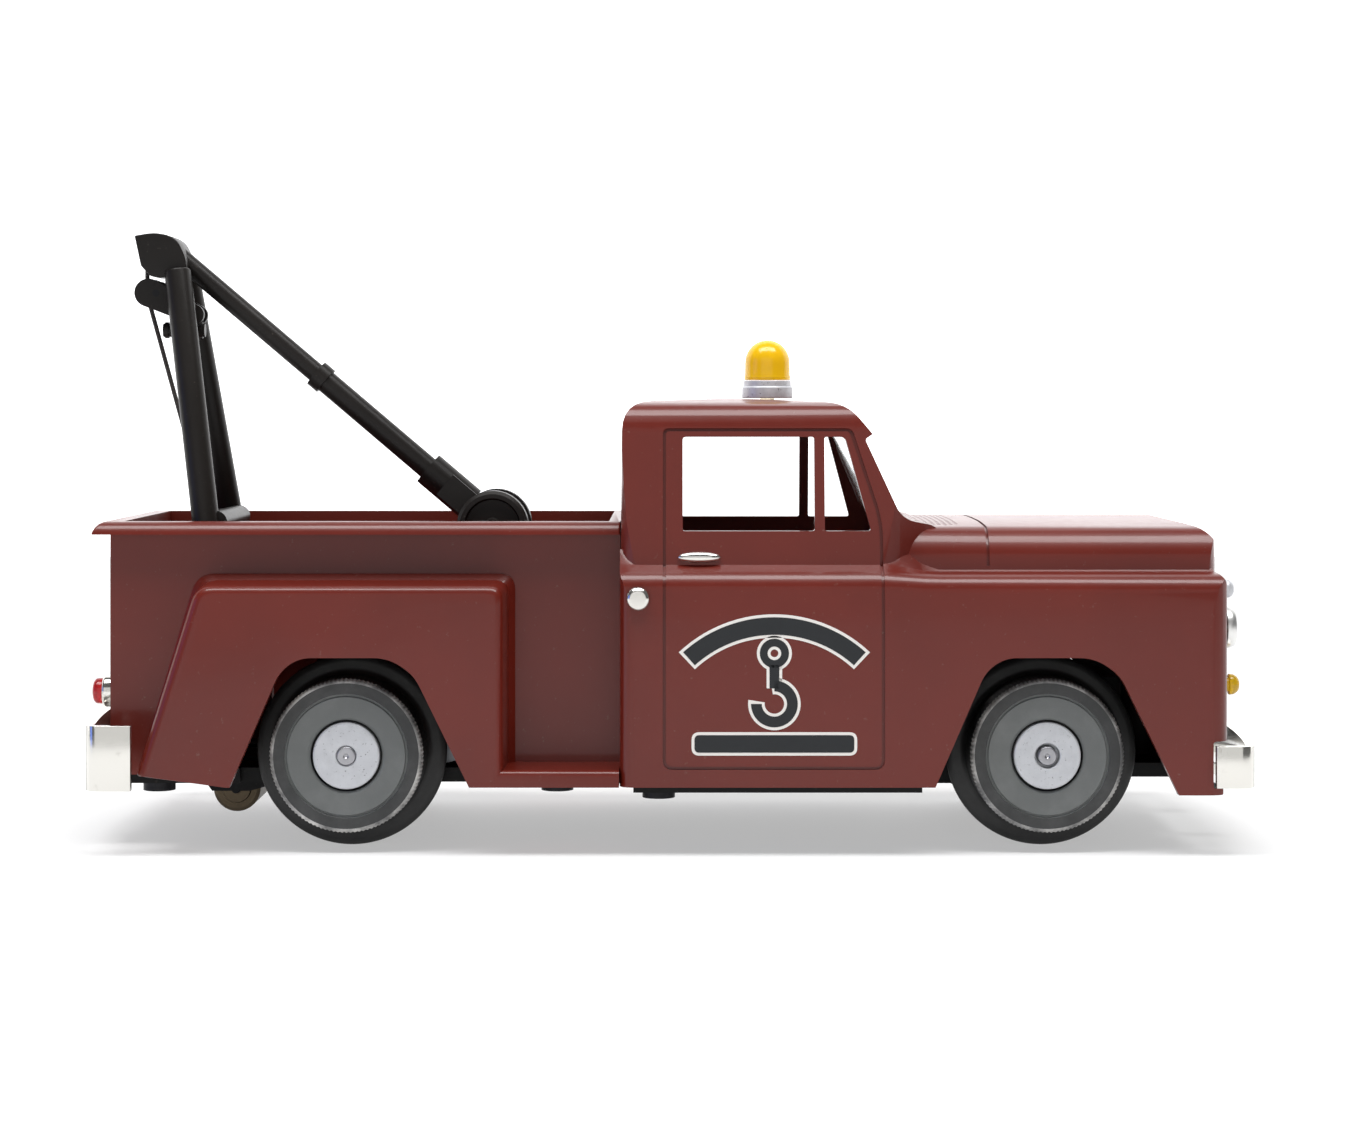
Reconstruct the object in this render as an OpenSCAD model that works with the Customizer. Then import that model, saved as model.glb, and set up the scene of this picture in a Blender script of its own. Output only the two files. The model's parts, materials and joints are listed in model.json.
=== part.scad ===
// Toy tow truck for a three-rail road track: pickup body with a rear hoist, roof beacon and electric drive.
// +X is forwards, +Y is the truck's left, +Z is up. The origin is below its middle, at the lowest point of the flanges.

/* [Running gear] */
// Distance between the gauge faces of the two outer rails
track_gauge = 31.75; // [28:0.25:38]
// Distance between the front and rear axles
wheelbase = 72.5; // [61:0.5:87]
// Diameter of the tread that rolls on the rail
tread_dia = 16; // [13.4:0.1:19.2]
// Depth of the flange below the tread
flange_depth = 2; // [1.6:0.1:2.4]
// Width of the tread
tread_w = 5.4; // [4.5:0.1:6.4]
// Diameter of the steel axles
axle_dia = 2; // [1.7:0.1:2.4]
// Diameter of the zinc hub disc in the wheel face
hub_dia = 6.9; // [6:0.1:8]
// Largest swing of the front axle to each side, in degrees
steer_deg = 6; // [3:0.5:6]

/* [Body] */
// Thickness of the moulded walls
wall = 1.2; // [1:0.05:1.4]
// Length of the pickup box behind the cab
bed_len = 53.7; // [50:0.1:64]
// Height of the roof above the axles
roof_h = 37; // [31:0.5:44]
// Height of the bonnet above the axles
hood_h = 23.5; // [21:0.5:26]
// Height of the pickup box rim above the axles
rim_h = 24; // [21:0.5:28]
// How far the box sides stand in from the fenders
box_inset = 7.5; // [6.5:0.1:8.5]
// Overhang of the rim around the box
rim_over = 1.75; // [1:0.05:2.2]

/* [Hoist] */
// Height of the mast above the bed floor
mast_h = 38; // [32:0.5:46]
// Half of the distance between the feet of the mast
mast_spread = 10.8; // [9:0.1:11.2]
// Diameter of the mast legs
leg_dia = 2.9; // [2.4:0.1:3.2]
// Diameter of the thin upper boom rod
rod_dia = 2.2; // [1.8:0.1:2.4]
// Diameter of the winch side discs
disc_dia = 7.8; // [6.4:0.1:9]
// Diameter of the tow line
line_dia = 0.5; // [0.4:0.05:0.6]

/* [Drive] */
// Teeth on the axle gear
gear_teeth = 26; // [22:1:26]
// Teeth on the motor pinion
pinion_teeth = 12; // [11:1:14]
// Gear module
gear_mod = 0.5; // [0.45:0.01:0.52]
// Diameter of the motor can
motor_dia = 12; // [10:0.1:12.4]
// Diameter of the pickup rollers
roller_dia = 5.1; // [4.2:0.1:5.6]

/* [Hidden] */
$fn = 48;

slip = 0.05;                                   // running clearance on a radius
seat = 0.05;                                   // gap between fixed mouldings
tread_r = tread_dia / 2;
flange_r = tread_r + flange_depth;
axle_r = axle_dia / 2;
axle_z = flange_r;                             // the flanges stand on z = 0
rail_z = flange_depth;                         // the tops of the rails
gauge_y = track_gauge / 2 - 0.275;             // outer face of a flange
flange_w = 1.3;
back_y = gauge_y - flange_w;                   // inner face of a wheel
face_y = gauge_y + tread_w;                    // outer face of a wheel
body_half = face_y + 0.8 + wall;               // half of the body's width
cab_set = 28.3;                                // the cab's rear wall ahead of the rear axle
nose_set = 19.1;                               // the grille panel ahead of the front axle
front_reach = 3.5;                             // the bumpers beyond the body
rear_reach = 2.7;
mid_x = (bed_len + rear_reach - cab_set - nose_set - front_reach) / 2;
rear_x = mid_x - wheelbase / 2;
front_x = rear_x + wheelbase;
cab_x = rear_x + cab_set;
bed_x = cab_x - bed_len;                       // tail of the box
nose_x = front_x + nose_set;
low_z = axle_z - 3;                            // bottom edge of the rocker
toe_z = axle_z - 3.8;                          // bottom edge of the front toe
roof_z = axle_z + roof_h;
hood_z = axle_z + hood_h;
rim_z = axle_z + rim_h;
sill_z = hood_z - 0.3;                         // bottom of the side windows
head_z = roof_z - 4;                           // top of the side windows
deck_z = axle_z + flange_r + 1.5;              // underside of the bed floor
deck_t = 1.5;
floor_z = deck_z + deck_t;                     // top of the bed floor
box_half = body_half - box_inset;
plate_z = axle_z - 3.7;                        // underside of the chassis plate
plate_t = 1.5;
plate_top = plate_z + plate_t;
bumper_t = 0.9;
bumper_half = body_half + 0.7;
bumper_bow = 1.7;
front_tip = nose_x + front_reach;
rear_tip = bed_x - rear_reach;
lamp_y = body_half - 6.5;

body_red = [0.46, 0.2, 0.16];
soot = [0.12, 0.12, 0.12];
zinc = [0.75, 0.75, 0.75];
chrome = [0.9, 0.9, 0.88];
steel = [0.6, 0.6, 0.62];

// ---- helpers ----

// A shape drawn in X and Z, made solid from y0 to y1
module along_y(y0, y1) {
    translate([0, y1, 0]) rotate([90, 0, 0]) linear_extrude(y1 - y0) children();
}

// A shape drawn in Y and Z, made solid from x0 to x1
module along_x(x0, x1) {
    translate([x0, 0, 0]) rotate([90, 0, 90]) linear_extrude(x1 - x0) children();
}

// A round bar between two points
module bar(p, q, d) {
    v = q - p;
    flat = norm([v.x, v.y]);
    translate(p) rotate([0, atan2(flat, v.z), atan2(v.y, v.x)]) rotate(90) cylinder(h = norm(v), d = d);
}

// A cylinder on an axis parallel to Y, from y0 to y1
module axle_bar(x, z, y0, y1, r) {
    translate([x, y1, z]) rotate([90, 0, 0]) cylinder(h = y1 - y0, r = r);
}

// A shape drawn as radius and Y, turned round an axis parallel to Y
module turned(x, z) {
    translate([x, 0, z]) rotate([-90, 0, 0]) rotate_extrude($fn = 96) children();
}

module both_sides() {
    children();
    mirror([0, 1, 0]) children();
}

module box(x0, x1, y0, y1, z0, z1) {
    translate([x0, y0, z0]) cube([x1 - x0, y1 - y0, z1 - z0]);
}

// A half section and its mirror image
module section(half) {
    n = len(half);
    polygon(concat(half, [for (i = [n - 1:-1:1]) [-half[i].x, half[i].y]]));
}

// Two circles and the flat web between their tangents
module lobe(a, ra, b, rb) {
    d = b - a;
    swing = acos((ra - rb) / norm(d));
    lean = atan2(d.y, d.x);
    up = [cos(lean + swing), sin(lean + swing)];
    down = [cos(lean - swing), sin(lean - swing)];
    translate(a) circle(ra);
    translate(b) circle(rb);
    polygon([a + ra * up, a + ra * down, b + rb * down, b + rb * up]);
}

// Outline of a wheel arch round an axle at x, in X and Z
module arch(x) {
    r = tread_r;
    translate([x, axle_z]) polygon([
        [-r - 4.9, -6], [-r + 1.4, r + 0.3], [-r + 3.8, r + 2.2],
        [r - 3.6, r + 2.2], [r - 0.9, r + 0.3], [r + 4.9, -4], [r + 4.9, -6]
    ]);
}

// ---- cab and front end ----

// Half section of the cab, inset by e
function cab_half(e) = [
    [0, roof_z - e],
    [body_half - 7 - 0.4 * e, roof_z - e],
    [body_half - 4.8 - e, roof_z - 1.3 - 0.5 * e],
    [body_half - 3.6 - e, head_z],
    [body_half - 2.9 - e, sill_z],
    [body_half - 2.6 - e, hood_z - 4.1 - 0.3 * e],
    [body_half - 1 - e, hood_z - 4.9 - 0.4 * e],
    [body_half - e, hood_z - 6.7 - 0.2 * e],
    [body_half - e, toe_z - (e > 0 ? 2 : 0)]
];

// Half section of the bonnet and front fenders, inset by e
function hood_half(e) = [
    [0, hood_z - e],
    [body_half - 5.8 - 0.6 * e, hood_z - e],
    [body_half - 4.6 - e, hood_z - 0.9 - 0.4 * e],
    [body_half - 4.4 - e, hood_z - 4.1 - 0.4 * e],
    [body_half - 3 - e, hood_z - 4.5 - 0.5 * e],
    [body_half - 0.9 - e, hood_z - 5.2 - 0.4 * e],
    [body_half - e, hood_z - 6.5 - 0.2 * e],
    [body_half - e, toe_z - (e > 0 ? 2 : 0)]
];

// Side view of the cab above the rocker, inset by e
function cab_side(e) = [
    [cab_x + e, low_z - (e > 0 ? 2 : 0)],
    [cab_x + e, roof_z - 2.2],
    [cab_x + 0.7 + e, roof_z - 0.7 - e],
    [cab_x + 2.2 + e, roof_z - e],
    [cab_x + 22.5 - e, roof_z - e],
    [cab_x + 24.9 - e, roof_z - 1.1 - e],
    [cab_x + 26.4 - (e > 0 ? e + 0.8 : 0), roof_z - 3.9],
    [cab_x + 25.6 - e, head_z],
    [cab_x + 29.2 - e, hood_z + 0.8],
    [cab_x + 30.2, hood_z - e],
    [cab_x + 30.2, low_z - (e > 0 ? 2 : 0)]
];

// Side view of the front end, inset by e
function nose_side(e) = [
    [cab_x + 28, low_z - (e > 0 ? 2 : 0)],
    [cab_x + 28, hood_z - e],
    [nose_x - 2.8 - e, hood_z - e],
    [nose_x - 0.8 - e, hood_z - 1.1 - e],
    [nose_x - 0.3 - e, hood_z - 2.4 - e],
    [nose_x - e, axle_z + 16],
    [nose_x - e, axle_z + 8],
    [nose_x - 0.4 - e, axle_z + 1.7 + e],
    [nose_x - 2.2 - e, axle_z + 1.7 + e],
    [nose_x - 2.2 - e, low_z + (e > 0 ? -e - 2 : 0)],
    [nose_x - 1.1 - e, low_z - (e > 0 ? e + 2 : 0)],
    [nose_x - 1.1 - e, toe_z - (e > 0 ? 2 : 0)],
    [front_x + tread_r + 4.7, toe_z - (e > 0 ? 2 : 0)],
    [front_x + tread_r + 4.7, low_z - (e > 0 ? 2 : 0)]
];

module front_shape(e) {
    intersection() {
        along_y(-body_half - 1, body_half + 1) polygon(cab_side(e));
        along_x(cab_x - 1, cab_x + 31) section(cab_half(e));
    }
    intersection() {
        along_y(-body_half - 1, body_half + 1) polygon(nose_side(e));
        along_x(cab_x + 27, nose_x + 1) section(hood_half(e));
    }
}

module side_windows() {
    along_y(-body_half - 1, body_half + 1) {
        polygon([
            [cab_x + 6.5, sill_z], [cab_x + 6.5, head_z],
            [cab_x + 20.2, head_z], [cab_x + 20.2, sill_z]
        ]);
        polygon([
            [cab_x + 21.2, sill_z], [cab_x + 21.2, head_z],
            [cab_x + 23.7, head_z], [cab_x + 26, sill_z]
        ]);
    }
}

module windscreen_cut() {
    glass_half = body_half - 6.6;
    box(cab_x + 21.8, cab_x + 31, -glass_half, glass_half, hood_z + 1.4, head_z - 0.6);
    box(cab_x - 1, cab_x + 2.5, -glass_half + 4, glass_half - 4, sill_z + 1, head_z - 0.6);
}

// Shallow lines round the doors and across the bonnet
module panel_lines() {
    deep = 0.25;
    thin = 0.3;
    door_x = cab_x + 4.6;
    both_sides() {
        box(door_x, door_x + thin, body_half - deep, body_half + 1, low_z + 2, hood_z - 6.7);
        box(cab_x + 27, cab_x + 27 + thin, body_half - deep, body_half + 1, low_z + 2, hood_z - 6.7);
        box(door_x, cab_x + 27 + thin, body_half - deep, body_half + 1, low_z + 2, low_z + 2 + thin);
    }
    box(cab_x + 38.2, cab_x + 38.2 + thin, -body_half + 5.8, body_half - 5.8, hood_z - deep, hood_z + 1);
}

front_boss_x = nose_x - 6.2;
cab_boss_x = cab_x + 4;
cab_boss_y = body_half - 5;
boss_r = 2.2;
screw_r = 0.95;
screw_deep = 6;

module boss(x, y, top) {
    translate([x, y, plate_top + seat]) cylinder(h = top - plate_top - seat, r = boss_r);
}

module boss_hole(x, y) {
    translate([x, y, plate_top - 1]) cylinder(h = screw_deep + 1, r = screw_r + slip);
}

bracket_y = 9;                                  // middle of each bumper bracket
bracket_w = 2;

module cab_body() {
    color(body_red) difference() {
        union() {
            difference() {
                front_shape(0);
                front_shape(wall);
            }
            boss(front_boss_x, 0, hood_z - wall / 2);
            both_sides() {
                boss(cab_boss_x, cab_boss_y, hood_z - 8);
                box(cab_boss_x - 0.8, cab_boss_x + 0.8, cab_boss_y, body_half - wall / 2,
                    plate_top + seat, hood_z - 8);
            }
        }
        side_windows();
        windscreen_cut();
        sill_notch();
        along_y(-body_half - 1, body_half + 1) arch(front_x);
        panel_lines();
        boss_hole(front_boss_x, 0);
        both_sides() {
            boss_hole(cab_boss_x, cab_boss_y);
            box(nose_x - 5, nose_x + 1, bracket_y - 1.3, bracket_y + 1.3, plate_z - 2, plate_z + 2.4);
            translate([nose_x - wall - 1, lamp_y, axle_z + 13]) rotate([0, 90, 0]) cylinder(h = wall + 2, r = 1.3);
        }
        translate([cab_x + 15.9, 0, roof_z - wall - 1]) cylinder(h = wall + 2, r = 0.9);
    }
}

// Where the chassis plate passes under the walls between cab and box
module sill_notch() {
    half = box_half - wall - 0.2;
    box(cab_x - wall - 1, cab_x + wall + 1, -half, half, toe_z - 3, plate_top + seat);
}

// ---- pickup box ----

fender_back = rear_x - tread_r - 12.3;          // lower rear corner of the fender
fender_rise = rear_x - tread_r - 7.2;           // upper rear corner
fender_front = rear_x + tread_r + 8.4;
fender_z = axle_z + 17.6;
bed_boss_y = box_half - wall - boss_r + 0.1;
bed_boss_x = [bed_x + 4.6, cab_x - 6.8];

module fender_outline(e) {
    polygon([
        [fender_back + e, low_z + (e > 0 ? -2 : 1.2)], [fender_rise + e, fender_z - e],
        [fender_front - e, fender_z - e], [fender_front - e, low_z - (e > 0 ? 2 : 0)],
        [rear_x - tread_r - 4, low_z - (e > 0 ? 2 : 0)]
    ]);
}

module rear_fender() {
    difference() {
        along_y(box_half - 0.2, body_half) fender_outline(0);
        along_y(box_half - 1, body_half - wall) fender_outline(wall);
        along_y(box_half - 1, body_half + 1) arch(rear_x);
    }
}

module bed_walls() {
    difference() {
        box(bed_x, cab_x - seat, -box_half, box_half, low_z + 0.4, rim_z - 0.6);
        box(bed_x + wall, cab_x - wall - seat, -box_half + wall, box_half - wall, low_z - 1, rim_z + 1);
        box(rear_x - flange_r - 2.5, rear_x + flange_r + 2.5, -box_half - 1, box_half + 1,
            low_z - 1, deck_z - 0.5);
    }
}

module rim() {
    rim_half = box_half + rim_over;
    difference() {
        box(bed_x - rim_over, cab_x - seat, -rim_half, rim_half, rim_z - 1.3, rim_z);
        box(bed_x + 1.9, cab_x - 4.7, -box_half + 1.5, box_half - 1.5, rim_z - 3, rim_z + 1);
    }
}

module bed_body() {
    color(body_red) difference() {
        union() {
            bed_walls();
            rim();
            both_sides() {
                rear_fender();
                box(fender_front - 0.4, cab_x - seat, box_half - wall, body_half, low_z, low_z + 1.7);
                for (x = bed_boss_x) boss(x, bed_boss_y, deck_z - seat);
            }
        }
        both_sides() for (x = bed_boss_x) boss_hole(x, bed_boss_y);
        sill_notch();
    }
}

module bed_floor() {
    color(body_red) box(bed_x + wall + seat, cab_x - wall - 2 * seat,
        -box_half + wall + seat, box_half - wall - seat, deck_z, floor_z);
}

// ---- chassis ----

gear_y = 7.6;                                   // inner face of the axle gear
gear_w = 2;
gear_pitch_r = gear_teeth * gear_mod / 2;
pinion_pitch_r = pinion_teeth * gear_mod / 2;
motor_r = motor_dia / 2;
motor_rise = 4;
motor_z = axle_z + motor_rise;
centre_gap = gear_pitch_r + pinion_pitch_r;
motor_x = rear_x + sqrt(centre_gap * centre_gap - motor_rise * motor_rise);
motor_y0 = -11;
motor_y1 = 6.6;
shaft_r = 0.75;
block_y = 10.4;                                 // inner face of each bearing block
block_w = 2.4;
bush_r = 1.8;
roller_r = roller_dia / 2;
roller_z = rail_z + roller_r;
arm_len = 6.4;                                  // from a roller to the arm's pivot
arm_rise = plate_z + 0.85 - roller_z;            // from the roller to the arm's pivot
pivot_z = roller_z + arm_rise;
pivot_r = 0.6;
ear_y = 5.3;                                    // inner face of each arm's ears
ear_w = 0.6;
rear_pick_x = rear_x - 13.7;
front_pick_x = front_x - 3.6;
rear_pivot_x = rear_pick_x + arm_len;
front_pivot_x = front_pick_x - arm_len;
slot_half = ear_y + ear_w + 0.4;
yoke_z = axle_z + axle_r + 3.3;                 // underside of the yoke plate
yoke_t = 1.2;
yoke_ear_y = back_y - 4.5;
yoke_ear_w = 1.2;
bridge_z = yoke_z + yoke_t + 0.1;
bridge_t = 1.4;
bridge_half = yoke_ear_y - 1.4;
board_x0 = cab_x + 2.2;
board_x1 = front_x - 16;
belly_x = cab_x + 15.2;                         // middle of the flat pad under the plate
board_y = 10;
board_z = plate_top + 1.7;

module plate_outline() {
    narrow = back_y - 1.4;
    span(bed_x + wall + 0.2, rear_x - flange_r - 2, box_half - wall - 0.3);
    span(rear_x - flange_r - 3, rear_x + flange_r + 3, narrow);
    span(rear_x + flange_r + 2, cab_x, box_half - wall - 0.3);
    span(cab_x + wall + 0.2, front_x - flange_r - 3, body_half - wall - 0.2);
    span(front_x - flange_r - 4, nose_x - 3.6, bridge_half + 0.4);
    span(cab_x - 1, cab_x + 2, box_half - wall - 0.3);
}

module span(x0, x1, half) {
    translate([x0, -half]) square([x1 - x0, 2 * half]);
}

module pivot_lugs(x) {
    both_sides() box(x - 1.6, x + 1.6, slot_half - 0.1, slot_half + 0.9, plate_z - 0.9, pivot_z + 1.6);
}

module axle_blocks() {
    both_sides() box(rear_x - 2.5, rear_x + 2.2, block_y, block_y + block_w, plate_top - 0.2, axle_z + 2.4);
}

module motor_saddles() {
    for (y = [motor_y0 + 2, motor_y1 - 4]) {
        box(motor_x - 4.4, motor_x + 4.4, y, y + 1.6, plate_top - 0.2, motor_z - 3.4);
    }
}

module front_bridge() {
    for (x = [front_x - 9, front_x + 7.4]) both_sides() {
        box(x, x + 1.6, bridge_half - 1.6, bridge_half, plate_top - 0.2, bridge_z + bridge_t);
    }
    box(front_x - 9, front_x + 9, -bridge_half, bridge_half, bridge_z, bridge_z + bridge_t);
}

module chassis_frame() {
    all_bosses = [
        [front_boss_x, 0], [cab_boss_x, cab_boss_y], [cab_boss_x, -cab_boss_y],
        [bed_boss_x[0], bed_boss_y], [bed_boss_x[0], -bed_boss_y],
        [bed_boss_x[1], bed_boss_y], [bed_boss_x[1], -bed_boss_y]
    ];
    color(soot) difference() {
        union() {
            translate([0, 0, plate_z]) linear_extrude(plate_t) plate_outline();
            box(belly_x - 8, belly_x + 8, -5, 5, plate_z - 0.3, plate_z + 0.1);
            pivot_lugs(rear_pivot_x);
            pivot_lugs(front_pivot_x);
            axle_blocks();
            motor_saddles();
            front_bridge();
            for (x = [board_x0 + 1.6, board_x1 - 1.6], y = [-board_y + 1.6, board_y - 1.6]) {
                translate([x, y, plate_top - 0.2]) cylinder(h = board_z - plate_top + 0.2, r = 1);
            }
        }
        box(rear_pick_x - roller_r - 1.4, rear_pivot_x + 1.6, -slot_half, slot_half, plate_z - 1, plate_top + 1);
        box(front_pivot_x - 1.6, front_pick_x + roller_r + 1.4, -slot_half, slot_half, plate_z - 1, plate_top + 1);
        box(rear_x - gear_pitch_r - 1, rear_x + gear_pitch_r + 1, gear_y - 0.2, gear_y + gear_w + 0.2,
            plate_z - 1, plate_top + 1);
        axle_bar(rear_x, axle_z, -block_y - block_w - 1, block_y + block_w + 1, bush_r + 0.02);
        axle_bar(motor_x, motor_z, motor_y0 - 1, motor_y1 + 1, motor_r + slip);
        for (x = [rear_pivot_x, front_pivot_x]) {
            axle_bar(x, pivot_z, -slot_half - 2, slot_half + 2, pivot_r);
        }
        translate([front_x, 0, bridge_z - 1]) cylinder(h = bridge_t + 2, r = 1.5);
        for (p = all_bosses) {
            translate([p.x, p.y, plate_z - 1]) cylinder(h = plate_t + 2, r = screw_r + 0.2);
        }
    }
}

module chassis_screws() {
    places = [
        [front_boss_x, 0], [cab_boss_x, cab_boss_y], [cab_boss_x, -cab_boss_y],
        [bed_boss_x[0], bed_boss_y], [bed_boss_x[0], -bed_boss_y],
        [bed_boss_x[1], bed_boss_y], [bed_boss_x[1], -bed_boss_y]
    ];
    color(steel) for (p = places) translate([p.x, p.y, 0]) difference() {
        union() {
            translate([0, 0, plate_z - 0.9]) cylinder(h = 0.9, r = 1.7);
            translate([0, 0, plate_z - 0.5]) cylinder(h = plate_t + screw_deep - 0.6, r = screw_r);
        }
        translate([0, 0, plate_z - 1]) cylinder(h = 0.6, r = 0.6, $fn = 6);
    }
}

// ---- trim and lamps ----

// Plan of a bowed bumper with wrapped ends, drawn pointing along +X
module bumper_plan(tip, wrap, e) {
    sweep = (bumper_half * bumper_half + bumper_bow * bumper_bow) / (2 * bumper_bow);
    intersection() {
        translate([tip - sweep, 0]) circle(sweep - e, $fn = 200);
        translate([tip - bumper_bow - wrap, -bumper_half + e]) square([wrap + bumper_bow, 2 * (bumper_half - e)]);
    }
}

module bumper(tip, wrap, z0, z1) {
    translate([0, 0, z0]) linear_extrude(z1 - z0) difference() {
        bumper_plan(tip, wrap, 0);
        translate([-0.01, 0]) bumper_plan(tip, wrap + 1, bumper_t);
    }
}

module front_bumper() {
    z0 = low_z;
    color(chrome) {
        bumper(front_tip, 3.9, z0, z0 + 4.3);
        both_sides() box(nose_x - 3.55, front_tip - bumper_t - 0.1, bracket_y - bracket_w / 2,
            bracket_y + bracket_w / 2, z0 - 0.3, z0 + 0.9);
    }
}

module rear_bumper() {
    z0 = low_z - 0.3;
    inside = -rear_tip - bumper_t - 0.1;
    wrap = fender_back - 1.5 - rear_tip - bumper_bow;
    color(chrome) mirror([1, 0, 0]) {
        bumper(-rear_tip, wrap, z0, z0 + 6.7);
        both_sides() box(-bed_x - wall - 0.15, inside, bracket_y - bracket_w / 2,
            bracket_y + bracket_w / 2, z0 - 0.2, z0 + 0.6);
    }
}

module radiator_grille() {
    grille_half = lamp_y - 4.6;
    bars = 11;
    pitch = 2 * (grille_half - 0.8) / bars;
    z0 = axle_z + 7.2;
    z1 = axle_z + 15.6;
    color(chrome) difference() {
        box(nose_x + 0.02, nose_x + 0.7, -grille_half, grille_half, z0, z1);
        for (i = [0:bars - 1]) {
            y = -grille_half + 0.8 + (i + 0.5) * pitch;
            box(nose_x - 1, nose_x + 1, y - pitch * 0.3, y + pitch * 0.3, z0 + 0.8, z1 - 0.8);
        }
    }
}

// A disc facing along +X with its back at x
module stud(x, y, z, r, h) {
    translate([x, y, z]) rotate([0, 90, 0]) cylinder(h = h, r = r);
}

lamp_z = axle_z + 13;
bezel_r = 2.2;
lens_r = 1.7;

module headlight_bezels() {
    color(chrome) both_sides() difference() {
        stud(nose_x + 0.02, lamp_y, lamp_z, bezel_r, 1);
        stud(nose_x - 1, lamp_y, lamp_z, lens_r, 3);
    }
}

module headlight_lenses() {
    color([0.9, 0.92, 0.95]) both_sides() intersection() {
        stud(nose_x + 0.02, lamp_y, lamp_z, lens_r - 0.01, 1.4);
        translate([nose_x - 1.9, lamp_y, lamp_z]) sphere(3.2);
    }
}

module lamp_bulbs() {
    bulb_r = 0.8;
    color([0.95, 0.9, 0.7]) {
        both_sides() {
            stud(nose_x - 4.4, lamp_y, lamp_z, bulb_r, 3.4);
            translate([nose_x - 1.1, lamp_y, lamp_z]) sphere(bulb_r + 0.1);
        }
        translate([beacon_x, 0, roof_z - 2]) {
            cylinder(h = 4.6, r = bulb_r);
            translate([0, 0, 4.5]) sphere(bulb_r + 0.1);
        }
    }
}

module marker_lamps() {
    color(zinc) both_sides() intersection() {
        stud(nose_x + 0.02, lamp_y, axle_z + 17, 0.95, 1);
        translate([nose_x, lamp_y, axle_z + 17]) sphere(1.08);
    }
}

module turn_signal_lenses() {
    color([0.85, 0.6, 0.1]) both_sides() intersection() {
        stud(nose_x + 0.02, lamp_y, axle_z + 7, 1.1, 1.7);
        translate([nose_x + 0.3, lamp_y, axle_z + 7]) sphere(1.3);
    }
}

tail_y = box_half - 2.2;
tail_z = axle_z + 6;

module tail_light_bezels() {
    color(chrome) both_sides() stud(bed_x - 1.1, tail_y, tail_z, 1.7, 1.08);
}

module tail_light_lenses() {
    color([0.75, 0.1, 0.1]) both_sides() stud(bed_x - 2.2, tail_y, tail_z, 1.4, 1.09);
}

module door_handles() {
    y = body_half - 2.58;
    z = hood_z - 3;
    color(chrome) both_sides() along_y(y, y + 0.65) intersection() {
        translate([cab_x + 8.2, z - 3.9]) circle(4.5, $fn = 96);
        translate([cab_x + 8.2, z + 3.9]) circle(4.5, $fn = 96);
    }
}

module filler_cap() {
    color(chrome) axle_bar(cab_x + 1.9, hood_z - 7.1, -body_half - 0.7, -body_half - 0.02, 1.2);
}

beacon_x = cab_x + 15.9;

module beacon_base() {
    color(zinc) translate([beacon_x, 0, roof_z]) difference() {
        cylinder(h = 2, r = 2.8);
        translate([0, 0, -1]) cylinder(h = 4, r = 0.9);
    }
}

module beacon_lens() {
    dome_r = 2.55;
    rise = 1.85;
    color([0.95, 0.78, 0.1]) translate([beacon_x, 0, roof_z + 2]) difference() {
        union() {
            cylinder(h = rise, r = dome_r);
            translate([0, 0, rise]) sphere(dome_r);
            cylinder(h = 0.4, r = dome_r + 0.1);
        }
        translate([0, 0, -0.01]) cylinder(h = rise, r = dome_r - 0.55);
        translate([0, 0, rise - 0.02]) sphere(dome_r - 0.55);
        translate([0, 0, -5]) cylinder(h = 5, r = dome_r + 1);
    }
}

// ---- glazing and cab cover ----

module window_glazing() {
    t = 0.6;
    gap = wall + 0.15;
    half = body_half - 4.8 - wall - 1.4;
    color([0.85, 0.9, 0.92, 0.4]) difference() {
        intersection() {
            along_y(-half, half) difference() {
                polygon(cab_side(gap));
                polygon(cab_side(gap + t));
            }
            box(cab_x, cab_x + 30, -half, half, sill_z + 1, roof_z);
        }
        translate([beacon_x, 0, roof_z - 5]) cylinder(h = 6, r = 1.3);
    }
}

module cab_floor_cover() {
    half = body_half - wall - 0.25;
    z = hood_z - 7.2;
    color(soot) box(cab_x + wall + 0.2, cab_x + 27, -half, half, z - 0.8, z);
}

// ---- hoist ----

mast_foot = [rear_x - 14.9, mast_spread, floor_z];
mast_top = [rear_x - 20.5, 2.8, floor_z + mast_h];
winch = [cab_x - 14.2, 0, floor_z + 10];
boom_top = [mast_top.x, 0, mast_top.z + 1.4];
boom_run = boom_top - winch;
boom_dir = boom_run / norm(boom_run);
sleeve_foot = 3.6;                              // from the winch axis to the foot of the sleeve
rod_foot = 5.5;                                 // from the winch axis to the foot of the rod and tube
sleeve_top = 9.65;
collar_len = 0.557 * norm(boom_run);
tube_dia = rod_dia + 0.35;
sleeve_dia = tube_dia + 1.25;
core_r = 1.5;                                   // drum core under the wound line
wound_r = core_r + line_dia;                    // outside of the wound line
pin_r = 0.8;
cheek_y = sleeve_dia / 2 + seat;                // inner face of each cheek of the winch stand
cheek_w = 0.6;
disc_y = cheek_y + cheek_w + 0.1;               // inner face of each winch disc
line_bore = line_dia + 0.4;
bracket_z = mast_top.z - 4.408;
bracket_x = mast_foot.x + (mast_top.x - mast_foot.x) * (bracket_z - floor_z) / mast_h;
sheave_x = mast_top.x - 2.55;
sheave_z = mast_top.z - 2.45;
sheave_r = 1.25;
guide_z = mast_top.z - 6.5;
guide_x = mast_foot.x + (mast_top.x - mast_foot.x) * (guide_z - floor_z) / mast_h;
guide_r = 0.5;                                  // rung that carries the cable guide
rung_r = 0.6;                                   // rung that carries the sheave bracket

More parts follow.
